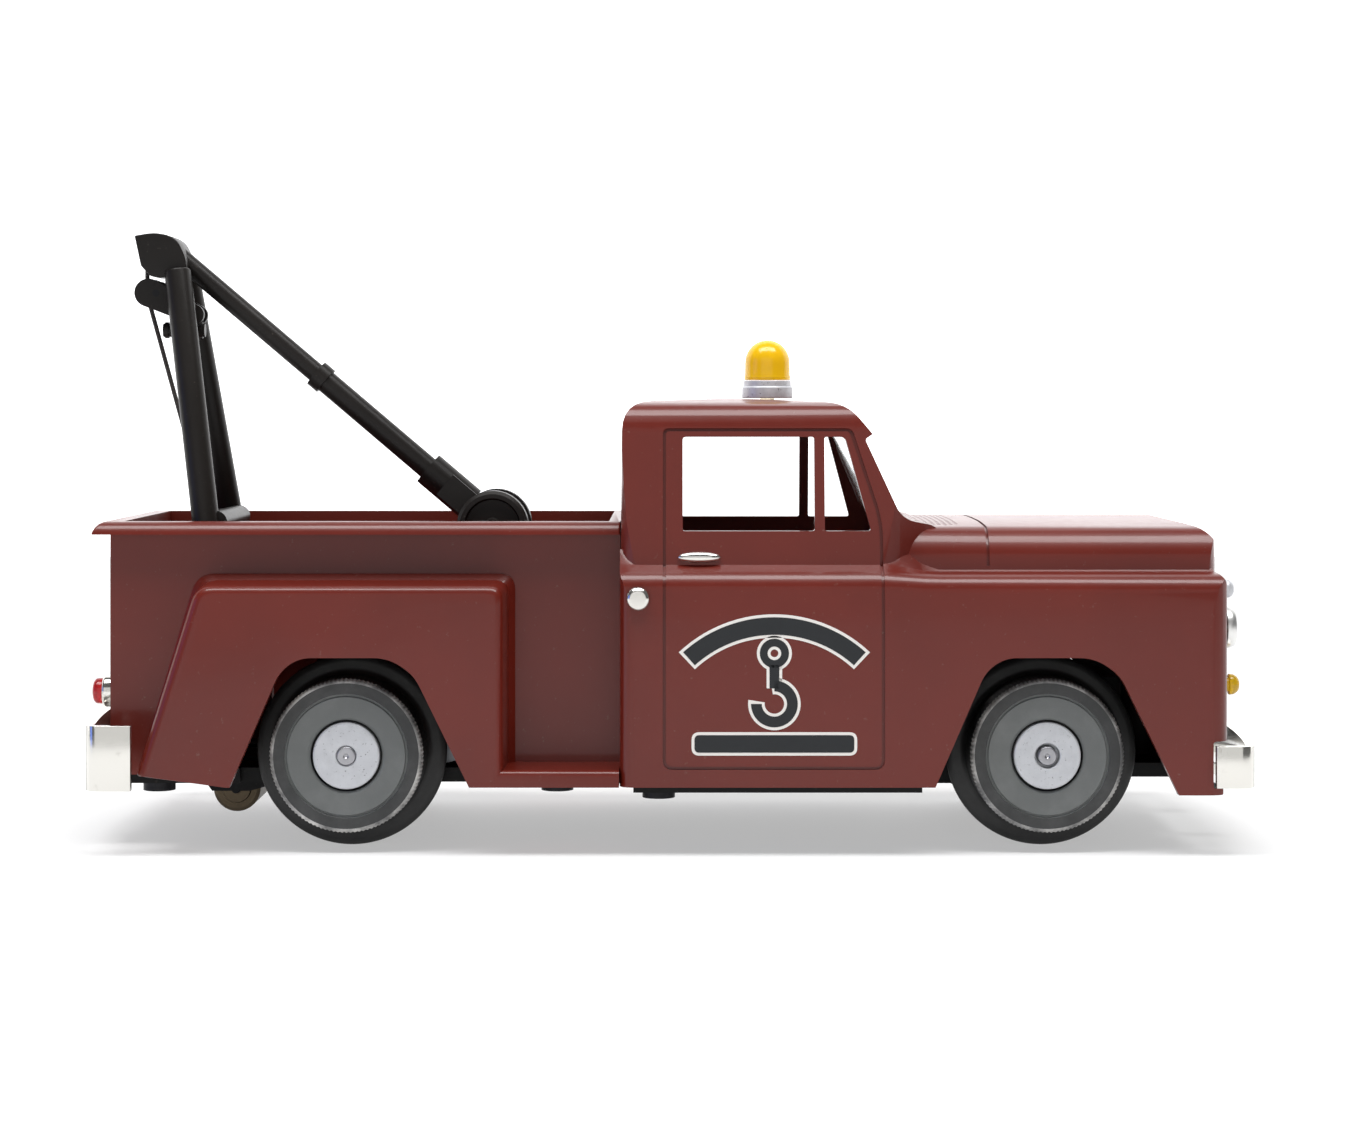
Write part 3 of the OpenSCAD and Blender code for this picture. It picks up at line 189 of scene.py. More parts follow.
class Shape:
    """A mesh in the making, held as a bmesh."""

    def __init__(self) -> None:
        """Starts with an empty mesh."""
        self.bm = bmesh.new()

    # ---- ways to start -------------------------------------------------

    @classmethod
    def prism(cls, outline: Sequence[Corner], axis: Axis, start: float, end: float) -> Shape:
        """Pushes an outline along an axis.

        Args:
            outline: The corners in millimetres.
            axis: The axis to push along.
            start: Where the solid starts, in millimetres.
            end: Where the solid ends, in millimetres.

        Returns:
            The closed shape.
        """
        shape = cls()
        verts = [shape.bm.verts.new(axis.point(u, v, start * MM)) for u, v in rounded(outline)]
        face = shape.bm.faces.new(verts)
        grown = bmesh.ops.extrude_face_region(shape.bm, geom=[face])["geom"]
        moved = [item for item in grown if isinstance(item, bmesh.types.BMVert)]
        bmesh.ops.translate(shape.bm, verts=moved, vec=axis.vector * (end - start) * MM)
        return shape.outward()

    @classmethod
    def loft(cls, sections: Sequence[tuple[float, Sequence[Corner]]], axis: Axis) -> Shape:
        """Skins a row of outlines that have the same number of corners.

        Args:
            sections: Pairs of place along the axis, in millimetres, and outline.
            axis: The axis that the sections stand on.

        Returns:
            The closed shape.
        """
        shape = cls()
        rings: list[list[bmesh.types.BMVert]] = []
        for place, outline in sections:
            rings.append([shape.bm.verts.new(axis.point(u, v, place * MM)) for u, v in rounded(outline)])
        for ring in rings:
            for index, vert in enumerate(ring):
                shape.bm.edges.new((vert, ring[(index + 1) % len(ring)]))
        for low, high in zip(rings, rings[1:]):
            loops = [edge for ring in (low, high) for edge in cls._ring_edges(ring)]
            bmesh.ops.bridge_loops(shape.bm, edges=loops)
        for ring in (rings[0], rings[-1]):
            shape.bm.faces.new(ring)
        return shape.outward()

    @staticmethod
    def _ring_edges(ring: Sequence[bmesh.types.BMVert]) -> list[bmesh.types.BMEdge]:
        """The edges that join a ring's neighbouring vertices."""
        return [
            edge
            for index, vert in enumerate(ring)
            for edge in vert.link_edges
            if edge.other_vert(vert) is ring[(index + 1) % len(ring)]
        ]

    @classmethod
    def turned(
        cls, profile: Sequence[Corner], axis: Axis, centre: Vector, steps: int = 96, closed: bool = False
    ) -> Shape:
        """Turns a profile of (radius, height) about an axis.

        Args:
            profile: Corners in millimetres, the radius first.
            axis: The axis to turn about.
            centre: A point on the axis, in metres, from which heights count.
            steps: Number of steps in the full turn.
            closed: Whether the profile's last point joins its first.

        Returns:
            The shape.
        """
        shape = cls()
        points = rounded(profile, 4)
        if closed:
            points.append(points[0])
        verts = [shape.bm.verts.new(centre + cls._radial(axis, r, h)) for r, h in points]
        edges = [shape.bm.edges.new(pair) for pair in zip(verts, verts[1:])]
        bmesh.ops.spin(
            shape.bm,
            geom=verts + edges,
            cent=centre,
            axis=axis.vector,
            angle=2 * math.pi,
            steps=steps,
            use_merge=True,
            use_duplicate=False,
        )
        return shape.merged().outward()

    @staticmethod
    def _radial(axis: Axis, radius: float, height: float) -> Vector:
        """A profile's point in the plane where its turning starts."""
        return {
            Axis.X: Vector((height, radius, 0)),
            Axis.Y: Vector((radius, height, 0)),
            Axis.Z: Vector((radius, 0, height)),
        }[axis]

    @classmethod
    def block(cls, low: Sequence[float], high: Sequence[float]) -> Shape:
        """A box between two corners given in millimetres."""
        shape = cls()
        made = bmesh.ops.create_cube(shape.bm, size=1.0)["verts"]
        size = [(b - a) * MM for a, b in zip(low, high)]
        middle = Vector([(a + b) * MM / 2 for a, b in zip(low, high)])
        bmesh.ops.scale(shape.bm, verts=made, vec=size)
        bmesh.ops.translate(shape.bm, verts=made, vec=middle)
        return shape

    @classmethod
    def rod(cls, start: Vector, end: Vector, radius: float, tip: float | None = None, sides: int = 32) -> Shape:
        """A round bar between two points.

        Args:
            start: First end, in metres.
            end: Second end, in metres.
            radius: Radius at the first end, in millimetres.
            tip: Radius at the second end, in millimetres, if it differs.
            sides: Number of sides.

        Returns:
            The closed bar.
        """
        shape = cls()
        run = end - start
        made = bmesh.ops.create_cone(
            shape.bm,
            cap_ends=True,
            cap_tris=False,
            segments=sides,
            radius1=radius * MM,
            radius2=(radius if tip is None else tip) * MM,
            depth=run.length,
        )["verts"]
        turn = run.to_track_quat("Z", "Y").to_matrix().to_4x4()
        bmesh.ops.transform(shape.bm, matrix=Matrix.Translation((start + end) / 2) @ turn, verts=made)
        return shape

    @classmethod
    def post(cls, x: float, y: float, top: float, radius: float) -> Shape:
        """An upright screw post with a blind hole in its foot, in millimetres."""
        foot = spot(x, y, SILL_Z)
        hole = cls.rod(foot - Vector((0, 0, MM)), foot + Vector((0, 0, 5.8 * MM)), 1.0)
        return cls.rod(foot, spot(x, y, top), radius).cut(hole)

    @classmethod
    def swept(cls, path: Sequence[Vector], radius: float, sides: int, taper: Callable[[float], float]) -> Shape:
        """Sweeps a circle along a path in a plane of constant Y, or nearly so.

        Args:
            path: Points of the middle line, in metres.
            radius: Radius in millimetres.
            sides: Number of sides.
            taper: Factor on the radius for a share of the way from 0 to 1.

        Returns:
            The closed tube.
        """
        shape = cls()
        count = len(path)
        rings: list[list[bmesh.types.BMVert]] = []
        for index, place in enumerate(path):
            heading = (path[min(index + 1, count - 1)] - path[max(index - 1, 0)]).normalized()
            factor = taper(index / (count - 1))
            made = bmesh.ops.create_circle(shape.bm, cap_ends=False, segments=sides, radius=radius * MM * factor)
            turn = heading.to_track_quat("Z", "Y").to_matrix().to_4x4()
            bmesh.ops.transform(shape.bm, matrix=Matrix.Translation(place) @ turn, verts=made["verts"])
            rings.append(made["verts"])
        for low, high in zip(rings, rings[1:]):
            loops = [edge for ring in (low, high) for edge in cls._ring_edges(ring)]
            bmesh.ops.bridge_loops(shape.bm, edges=loops)
        for ring in (rings[0], rings[-1]):
            shape.bm.faces.new(ring)
        return shape.outward()

    # ---- ways to change ------------------------------------------------

    def outward(self) -> Shape:
        """Turns every face outwards."""
        bmesh.ops.recalc_face_normals(self.bm, faces=self.bm.faces[:])
        return self

    def merged(self, gap: float = 1e-6) -> Shape:
        """Joins vertices closer than the gap, in metres."""
        bmesh.ops.remove_doubles(self.bm, verts=self.bm.verts[:], dist=gap)
        return self

    def rounded_edges(self, width: float, segments: int = 3, angle: float = 30.0) -> Shape:
        """Rounds the edges that are sharper than an angle.

        Args:
            width: Width of the rounding, in millimetres.
            segments: Number of steps across the rounding.
            angle: Smallest angle between two faces that counts as sharp, in degrees.

        Returns:
            This shape.
        """
        limit = math.radians(angle)
        sharp = [e for e in self.bm.edges if len(e.link_faces) == 2 and e.calc_face_angle(0.0) > limit]
        bmesh.ops.bevel(
            self.bm,
            geom=sharp,
            offset=width * MM,
            offset_type="OFFSET",
            affect="EDGES",
            segments=segments,
            profile=0.5,
            material=-1,
            clamp_overlap=True,
        )
        return self

    def mirrored_copy(self) -> Shape:
        """A copy of this shape on the other side of the middle plane."""
        twin = Shape()
        twin.bm = self.bm.copy()
        bmesh.ops.scale(twin.bm, verts=twin.bm.verts[:], vec=(1, -1, 1))
        return twin.outward()

    def with_shape(self, other: Shape) -> Shape:
        """Adds another shape's mesh beside this one's, with no boolean."""
        mesh = bpy.data.meshes.new("carrier")
        other.bm.to_mesh(mesh)
        self.bm.from_mesh(mesh)
        bpy.data.meshes.remove(mesh)
        other.bm.free()
        return self

    def painted(self, index: int, where: Callable[[Vector], bool]) -> Shape:
        """Gives a material number to the faces whose middles satisfy a test."""
        for face in self.bm.faces:
            if where(face.calc_center_median()):
                face.material_index = index
        return self

    def as_object(self, name: str) -> bpy.types.Object:
        """Turns the shape into an object at the origin and frees the bmesh."""
        mesh = bpy.data.meshes.new(name)
        self.bm.to_mesh(mesh)
        self.bm.free()
        item = bpy.data.objects.new(name, mesh)
        bpy.context.scene.collection.objects.link(item)
        return item

    # ---- solid modelling -----------------------------------------------

    def _combine(self, others: Iterable[Shape], operation: str) -> Shape:
        """Joins, cuts or intersects this shape with others, one after another."""
        base = self.as_object("solid")
        tools = [other.as_object("tool") for other in others]
        for tool in tools:
            step = base.modifiers.new("step", "BOOLEAN")
            step.operation = operation
            step.solver = "EXACT"
            step.object = tool
        graph = bpy.context.evaluated_depsgraph_get()
        mesh = bpy.data.meshes.new_from_object(base.evaluated_get(graph))
        self.bm = bmesh.new()
        self.bm.from_mesh(mesh)
        for item in (base, *tools):
            spare = item.data
            bpy.data.objects.remove(item)
            bpy.data.meshes.remove(spare)
        bpy.data.meshes.remove(mesh)
        return self

    def joined(self, *others: Shape) -> Shape:
        """The union of this shape and others."""
        return self._combine(others, "UNION")

    def cut(self, *others: Shape) -> Shape:
        """This shape with others taken out."""
        return self._combine(others, "DIFFERENCE")

    def common(self, *others: Shape) -> Shape:
        """What this shape and all the others share."""
        return self._combine(others, "INTERSECT")

    def cleaned(self) -> Shape:
        """Merges slivers left by solid modelling and dissolves flat neighbouring faces."""
        self.merged(0.02 * MM)
        bmesh.ops.dissolve_limit(
            self.bm,
            angle_limit=math.radians(0.4),
            verts=self.bm.verts[:],
            edges=self.bm.edges[:],
        )
        return self


# ---- materials -----------------------------------------------------------


class Value:
    """A number socket that takes part in Python expressions."""

    def __init__(self, graph: Graph, socket: bpy.types.NodeSocket) -> None:
        """Wraps a socket of a graph."""
        self.graph = graph
        self.socket = socket

    def _with(self, operation: str, *operands: Any) -> Value:
        """Adds a Math node over the operands."""
        node = self.graph.node("ShaderNodeMath", {"operation": operation}, dict(enumerate(operands)))
        return Value(self.graph, node.outputs[0])

    def __add__(self, other: Any) -> Value:
        """self + other."""
        return self._with("ADD", self, other)

    def __radd__(self, other: Any) -> Value:
        """other + self."""
        return self._with("ADD", other, self)

    def __mul__(self, other: Any) -> Value:
        """self * other."""
        return self._with("MULTIPLY", self, other)

    def __rmul__(self, other: Any) -> Value:
        """other * self."""
        return self._with("MULTIPLY", other, self)

    def clipped(self) -> Value:
        """The value held between 0 and 1."""
        node = self.graph.node("ShaderNodeClamp", {}, {0: self})
        return Value(self.graph, node.outputs[0])

    def ramp(self, low: float, high: float) -> Value:
        """A smooth rise from 0 at low to 1 at high."""
        node = self.graph.node(
            "ShaderNodeMapRange",
            {"interpolation_type": "SMOOTHSTEP"},
            {0: self, 1: low, 2: high, 3: 0.0, 4: 1.0},
        )
        return Value(self.graph, node.outputs[0])


class Graph:
    """The nodes of one material."""

    def __init__(self, name: str) -> None:
        """Makes a material with a Principled shader on its output."""
        self.material = bpy.data.materials.new(name)
        self.material.use_nodes = True
        self.tree = self.material.node_tree
        self.shader = self.tree.nodes["Principled BSDF"]
        self.coords = self.node("ShaderNodeTexCoord", {}, {}).outputs["Object"]

    def node(self, kind: str, settings: dict[str, Any], inputs: dict[Any, Any]) -> bpy.types.Node:
        """Adds a node.

        Args:
            kind: The node's type.
            settings: Attributes that are set first.
            inputs: Values or links of its sockets, by name or number.

        Returns:
            The node.
        """
        made = self.tree.nodes.new(kind)
        for name, value in settings.items():
            setattr(made, name, value)
        for name, value in inputs.items():
            self.feed(made.inputs[name], value)
        return made

    def feed(self, socket: bpy.types.NodeSocket, value: Any) -> None:
        """Links a value or socket to a socket, or sets it."""
        if isinstance(value, Value):
            value = value.socket
        if isinstance(value, bpy.types.NodeSocket):
            self.tree.links.new(value, socket)
        else:
            socket.default_value = value

    def set(self, **inputs: Any) -> None:
        """Feeds the Principled shader's sockets, with _ for each space in their names."""
        for name, value in inputs.items():
            self.feed(self.shader.inputs[name.replace("_", " ")], value)

    def noise(
        self, scale: float, detail: float, roughness: float, stretch: Sequence[float] = (1, 1, 1)
    ) -> Value:
        """Fractal noise on the object's coordinates.

        Args:
            scale: Features per metre.
            detail: Number of octaves.
            roughness: Strength of the finer octaves.
            stretch: Factor on each coordinate.

        Returns:
            A value from 0 to 1.
        """
        mapped = self.node("ShaderNodeMapping", {}, {"Vector": self.coords, "Scale": stretch})
        made = self.node(
            "ShaderNodeTexNoise",
            {},
            {"Vector": mapped.outputs[0], "Scale": scale, "Detail": detail, "Roughness": roughness},
        )
        return Value(self, made.outputs["Fac"])

    def mix(self, factor: Value | float, low: Sequence[float], high: Any) -> bpy.types.NodeSocket:
        """Blends two colours.

        Args:
            factor: Share of the second colour.
            low: First colour or socket.
            high: Second colour or socket.

        Returns:
            The blended colour's socket.
        """
        made = self.node("ShaderNodeMix", {"data_type": "RGBA"}, {0: factor, 6: low, 7: high})
        return made.outputs[2]

    def bump(self, height: Value, depth: float) -> None:
        """Drives the shader's Normal with a height.

        Args:
            height: Height from 0 to 1.
            depth: What 1 stands for, in metres.
        """
        made = self.node("ShaderNodeBump", {}, {"Height": height, "Distance": depth, "Strength": 1.0})
        self.feed(self.shader.inputs["Normal"], made.outputs[0])


def rgba(red: float, green: float, blue: float) -> tuple[float, float, float, float]:
    """A display colour of 0 to 255 parts as linear light."""

    def linear(part: float) -> float:
        """One part, from display to linear."""
        share = part / 255
        return share / 12.92 if share <= 0.04045 else ((share + 0.055) / 1.055) ** 2.4

    return (linear(red), linear(green), linear(blue), 1.0)


def shaded(colour: Sequence[float], factor: float) -> tuple[float, ...]:
    """A colour made darker or lighter by a factor, up to full."""
    return (*(min(1.0, part * factor) for part in colour[:3]), 1.0)


@dataclass(frozen=True)
class MouldedPlastic:
    """Injection-moulded plastic with a fine grain and faint flow clouds."""

    name: str
    colour: tuple[float, float, float, float]
    roughness: float = 0.42
    grain: float = 0.006 * MM
    cloud: float = 0.10
    dust: float = 0.0
    coat: float = 0.0
    shine: float = 0.5

    def build(self) -> bpy.types.Material:
        """Makes the material."""
        graph = Graph(self.name)
        clouds = graph.noise(45, 4, 0.6)
        fine = graph.noise(900, 3, 0.65)
        dark, light = shaded(self.colour, 1 - self.cloud), shaded(self.colour, 1 + self.cloud)
        base = graph.mix(clouds.ramp(0.3, 0.7), dark, light)
        if self.dust:
            specks = graph.noise(1600, 2, 0.7).ramp(0.66, 0.8) * self.dust
            base = graph.mix(specks, base, rgba(176, 164, 150))
        grain = graph.noise(3200, 2, 0.5)
        graph.set(
            Base_Color=base,
            Roughness=(fine * 0.10 + (self.roughness - 0.05) + clouds * 0.06).clipped(),
            Coat_Weight=self.coat,
            Coat_Roughness=0.1,
            IOR=1.49,
            Specular_IOR_Level=self.shine,
        )
        graph.bump(grain * 0.7 + fine * 0.3, self.grain)
        return graph.material


@dataclass(frozen=True)
class PlatedChrome:
    """Bright plating with faint wear and tiny pits."""

    name: str
    colour: tuple[float, float, float, float]
    roughness: float = 0.12
    tarnish: float = 0.35

    def build(self) -> bpy.types.Material:
        """Makes the material."""
        graph = Graph(self.name)
        wear = graph.noise(420, 5, 0.7)
        pits = graph.noise(1900, 3, 0.6)
        marks = wear.ramp(0.56, 0.72) * self.tarnish
        graph.set(
            Base_Color=graph.mix(marks, self.colour, rgba(150, 142, 128)),
            Metallic=0.96,
            Roughness=(marks * 0.5 + pits * 0.10 + (self.roughness - 0.04)).clipped(),
        )
        graph.bump(pits, 0.004 * MM)
        return graph.material


@dataclass(frozen=True)
class CastZinc:
    """Pale die-cast metal with pores and stains."""

    name: str
    colour: tuple[float, float, float, float]
    roughness: float = 0.5
    metallic: float = 0.6

    def build(self) -> bpy.types.Material:
        """Makes the material."""
        graph = Graph(self.name)
        stain = graph.noise(520, 5, 0.7)
        pores = graph.noise(2600, 3, 0.75)
        base = graph.mix(stain.ramp(0.35, 0.75), self.colour, rgba(196, 198, 202))
        base = graph.mix(pores.ramp(0.62, 0.74), base, rgba(112, 112, 116))
        graph.set(
            Base_Color=base,
            Metallic=self.metallic,
            Roughness=(stain * 0.25 + (self.roughness - 0.1)).clipped(),
        )
        graph.bump(pores, 0.010 * MM)
        return graph.material


@dataclass(frozen=True)
class TurnedMetal:
    """Drawn or turned metal with fine lines round or along it."""

    name: str
    colour: tuple[float, float, float, float]
    roughness: float = 0.28
    lines: tuple[float, float, float] = (1.0, 12.0, 1.0)

    def build(self) -> bpy.types.Material:
        """Makes the material."""
        graph = Graph(self.name)
        lines = graph.noise(900, 3, 0.6, self.lines)
        film = graph.noise(300, 4, 0.6)
        graph.set(
            Base_Color=graph.mix(film.ramp(0.4, 0.8) * 0.5, self.colour, shaded(self.colour, 0.55)),
            Metallic=0.95,
            Roughness=(lines * 0.16 + film * 0.1 + (self.roughness - 0.1)).clipped(),
        )
        graph.bump(lines, 0.003 * MM)
        return graph.material


@dataclass(frozen=True)
class RolledRubber:
    """Dark wheel material with rings from turning and grey rub marks."""

    name: str
    colour: tuple[float, float, float, float]
    rub: tuple[float, float, float, float]
    roughness: float = 0.62
    wear: float = 0.35

    def build(self) -> bpy.types.Material:
        """Makes the material."""
        graph = Graph(self.name)
        clouds = graph.noise(260, 5, 0.65)
        fine = graph.noise(2400, 3, 0.7)
        base = graph.mix(clouds.ramp(0.35, 0.8) * self.wear, self.colour, self.rub)
        graph.set(
            Base_Color=graph.mix(fine.ramp(0.68, 0.82) * 0.5, base, self.rub),
            Roughness=(fine * 0.16 + (self.roughness - 0.08)).clipped(),
        )
        graph.bump(fine, 0.008 * MM)
        return graph.material


@dataclass(frozen=True)
class ClearPlastic:
    """Thin clear or tinted moulding."""

    name: str
    colour: tuple[float, float, float, float]
    transmission: float = 1.0
    roughness: float = 0.06
    alpha: float = 1.0
    glow: float = 0.0

    def build(self) -> bpy.types.Material:
        """Makes the material."""
        graph = Graph(self.name)
        smear = graph.noise(160, 4, 0.6)
        graph.set(
            Base_Color=self.colour,
            Roughness=(smear * 0.08 + self.roughness).clipped(),
            Transmission_Weight=self.transmission,
            IOR=1.46,
            Alpha=self.alpha,
            Emission_Color=self.colour,
            Emission_Strength=self.glow,
        )
        graph.bump(smear, 0.004 * MM)
        return graph.material


@dataclass(frozen=True)
class TwistedThread:
    """Black thread whose strands wind round it."""

    name: str
    colour: tuple[float, float, float, float]

    def build(self) -> bpy.types.Material:
        """Makes the material."""
        graph = Graph(self.name)
        fuzz = graph.noise(5200, 3, 0.7)
        lay = graph.noise(2200, 2, 0.5, (1.0, 1.0, 0.25))
        graph.set(
            Base_Color=graph.mix(fuzz.ramp(0.4, 0.8), self.colour, rgba(92, 84, 78)),
            Roughness=0.85,
            Sheen_Weight=0.3,
        )
        graph.bump(lay * 0.7 + fuzz * 0.3, 0.03 * MM)
        return graph.material


class Finish(Enum):
    """Every finish of the truck, by the place where it is used."""

    BODY = MouldedPlastic("oxide_red_plastic", rgba(102, 29, 18), 0.34, cloud=0.08, dust=0.10, coat=0.32, shine=0.32)
    BLACK = MouldedPlastic("black_plastic", rgba(30, 27, 25), 0.34, cloud=0.25, dust=0.06, shine=0.22)
    FRAME = MouldedPlastic("chassis_plastic", rgba(16, 16, 16), 0.5, cloud=0.15, dust=0.05, shine=0.2)
    PRINT_BLACK = MouldedPlastic("black_print", rgba(20, 24, 28), 0.45, cloud=0.05)
    PRINT_WHITE = MouldedPlastic("white_print", rgba(238, 234, 228), 0.5, cloud=0.03)
    CHROME = PlatedChrome("chrome_plating", rgba(228, 226, 220))
    SATIN = PlatedChrome("satin_plating", rgba(232, 232, 230), 0.36, 0.15)
    # Painted shade: a near-black colour for the cab's inner faces, standing in for the shade inside the unlit moulding.
    INSIDE = MouldedPlastic("inside_paint", rgba(20, 16, 15), 0.6, cloud=0.15, shine=0.2)
    SILVER = CastZinc("silver_paint", rgba(214, 216, 220), 0.42, 0.35)
    ZINC = CastZinc("die_cast_zinc", rgba(206, 208, 212), 0.5, 0.35)
    STEEL = TurnedMetal("drawn_steel", rgba(170, 170, 174))
    BRONZE = TurnedMetal("bronze", rgba(84, 74, 60), 0.34)
    DARK_STEEL = TurnedMetal("blackened_steel", rgba(44, 44, 46), 0.42)
    CAN = TurnedMetal("motor_can_steel", rgba(150, 152, 156), 0.36, (1.0, 0.2, 1.0))
    TYRE = RolledRubber("wheel_rim_dark", rgba(50, 51, 51), rgba(100, 100, 100), 0.55, 0.30)
    # Painted highlight: a near-white mottled colour on the wheel's rounded outer edge, standing in for the glint of
    # light along it.
    TYRE_EDGE = RolledRubber("wheel_rim_worn", rgba(92, 92, 92), rgba(228, 226, 222), 0.6, 0.9)
    TYRE_FACE = RolledRubber("wheel_plate_grey", rgba(102, 105, 104), rgba(132, 134, 133), 0.55, 0.35)
    TYRE_TREAD = RolledRubber("wheel_tread_dark", rgba(20, 20, 20), rgba(70, 70, 70), 0.5, 0.2)
    NYLON = MouldedPlastic("gear_nylon", rgba(222, 218, 204), 0.45, cloud=0.04)
    WINDOW = ClearPlastic("clear_window", rgba(246, 248, 248), 1.0, 0.03)
    LENS = ClearPlastic("clear_lens", rgba(246, 246, 246), 0.85, 0.06)
    RED_LENS = ClearPlastic("red_lens", rgba(190, 40, 44), 0.45, 0.12, glow=0.05)
    AMBER_LENS = ClearPlastic("amber_lens", rgba(226, 186, 34), 0.4, 0.12, glow=0.05)
    DOME = ClearPlastic("yellow_dome", rgba(246, 204, 24), 0.35, 0.14, glow=0.08)
    BULB = ClearPlastic("bulb_glass", rgba(252, 240, 210), 0.8, 0.03)
    THREAD = TwistedThread("black_thread", rgba(34, 30, 28))
    BOARD = MouldedPlastic("board_green", rgba(28, 92, 52), 0.4, cloud=0.06, coat=0.4)
    CHIP = MouldedPlastic("component_black", rgba(34, 34, 36), 0.5)

    def material(self) -> bpy.types.Material:
        """The finish's material, made at its first use."""
        label = f"look_{self.value.name}"
        found = bpy.data.materials.get(label)
        if found is None:
            found = self.value.build()
            found.name = label
        return found


def finish_piece(
    item: bpy.types.Object,
    body: str,
    finishes: Sequence[Finish],
    replaces: Sequence[str] = (),
    bevel: float = 0.0,
    smooth: float = 32.0,
) -> bpy.types.Object:
    """Dresses a piece and hands it to the frame.

    Args:
        item: The piece, at the origin.
        body: The body that it moves with.
        finishes: One finish for each material number of its faces.
        replaces: The CAD nodes that it stands for.
        bevel: Width of a closing bevel on its sharp edges, in millimetres.
        smooth: Angle in degrees up to which neighbouring faces look smooth.

    Returns:
        The piece.
    """
    for finish in finishes:
        item.data.materials.append(finish.material())
    item.data.shade_smooth()
    item.data.set_sharp_from_angle(angle=math.radians(smooth))
    if bevel:
        rim = item.modifiers.new("edge_rounding", "BEVEL")
        rim.width = bevel * MM
        rim.segments = 2
        rim.limit_method = "ANGLE"
        rim.angle_limit = math.radians(34)
        rim.use_clamp_overlap = True
        rim.harden_normals = True
    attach(item, body)
    if replaces:
        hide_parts(*replaces)
    return item


# ---- where things are ----------------------------------------------------


@dataclass(frozen=True)
class Stance:
    """Key places of the truck, in millimetres, read from the frame."""

    bed_x: float
    cab_x: float
    nose_x: float
    half: float
    roof_z: float
    rim_z: float
    rear_x: float
    front_x: float
    axle_z: float
    box_half: float

    @classmethod
    def read(cls) -> Stance:
        """Reads the places from the CAD nodes' boxes."""
        cab_low, cab_high = node_box("cab_body")
        bed_low, bed_high = node_box("bed_body")
        rear_low, rear_high = node_box("rear_axle")
        front_low, front_high = node_box("front_axle")
        floor_high = node_box("bed_floor")[1]
        return cls(
            bed_x=bed_low.x + 1.75,
            cab_x=cab_low.x,
            nose_x=cab_high.x,
            half=cab_high.y,
            roof_z=cab_high.z,
            rim_z=bed_high.z,
            rear_x=(rear_low.x + rear_high.x) / 2,
            front_x=(front_low.x + front_high.x) / 2,
            axle_z=(rear_low.z + rear_high.z) / 2,
            box_half=floor_high.y + 1.25,
        )

    @property
    def hood_z(self) -> float:
        """Height of the bonnet's flat."""
        return self.roof_z - 13.5

    @property
    def low_z(self) -> float:
        """Height of the rocker's bottom edge."""
        return self.axle_z - 3.0

    def arch(self, x: float) -> list[Corner]:
        """Outline of a wheel arch round an axle at x."""
        z = self.axle_z
        return corners(
            (x - 14.8, z - 10.0),
            (x - 6.6, z + 8.9, 1.2),
            (x - 4.6, z + 10.3, 1.6),
            (x + 4.6, z + 10.3, 1.6),
            (x + 7.2, z + 8.5, 1.2),
            (x + 16.3, z - 10.0),
        )


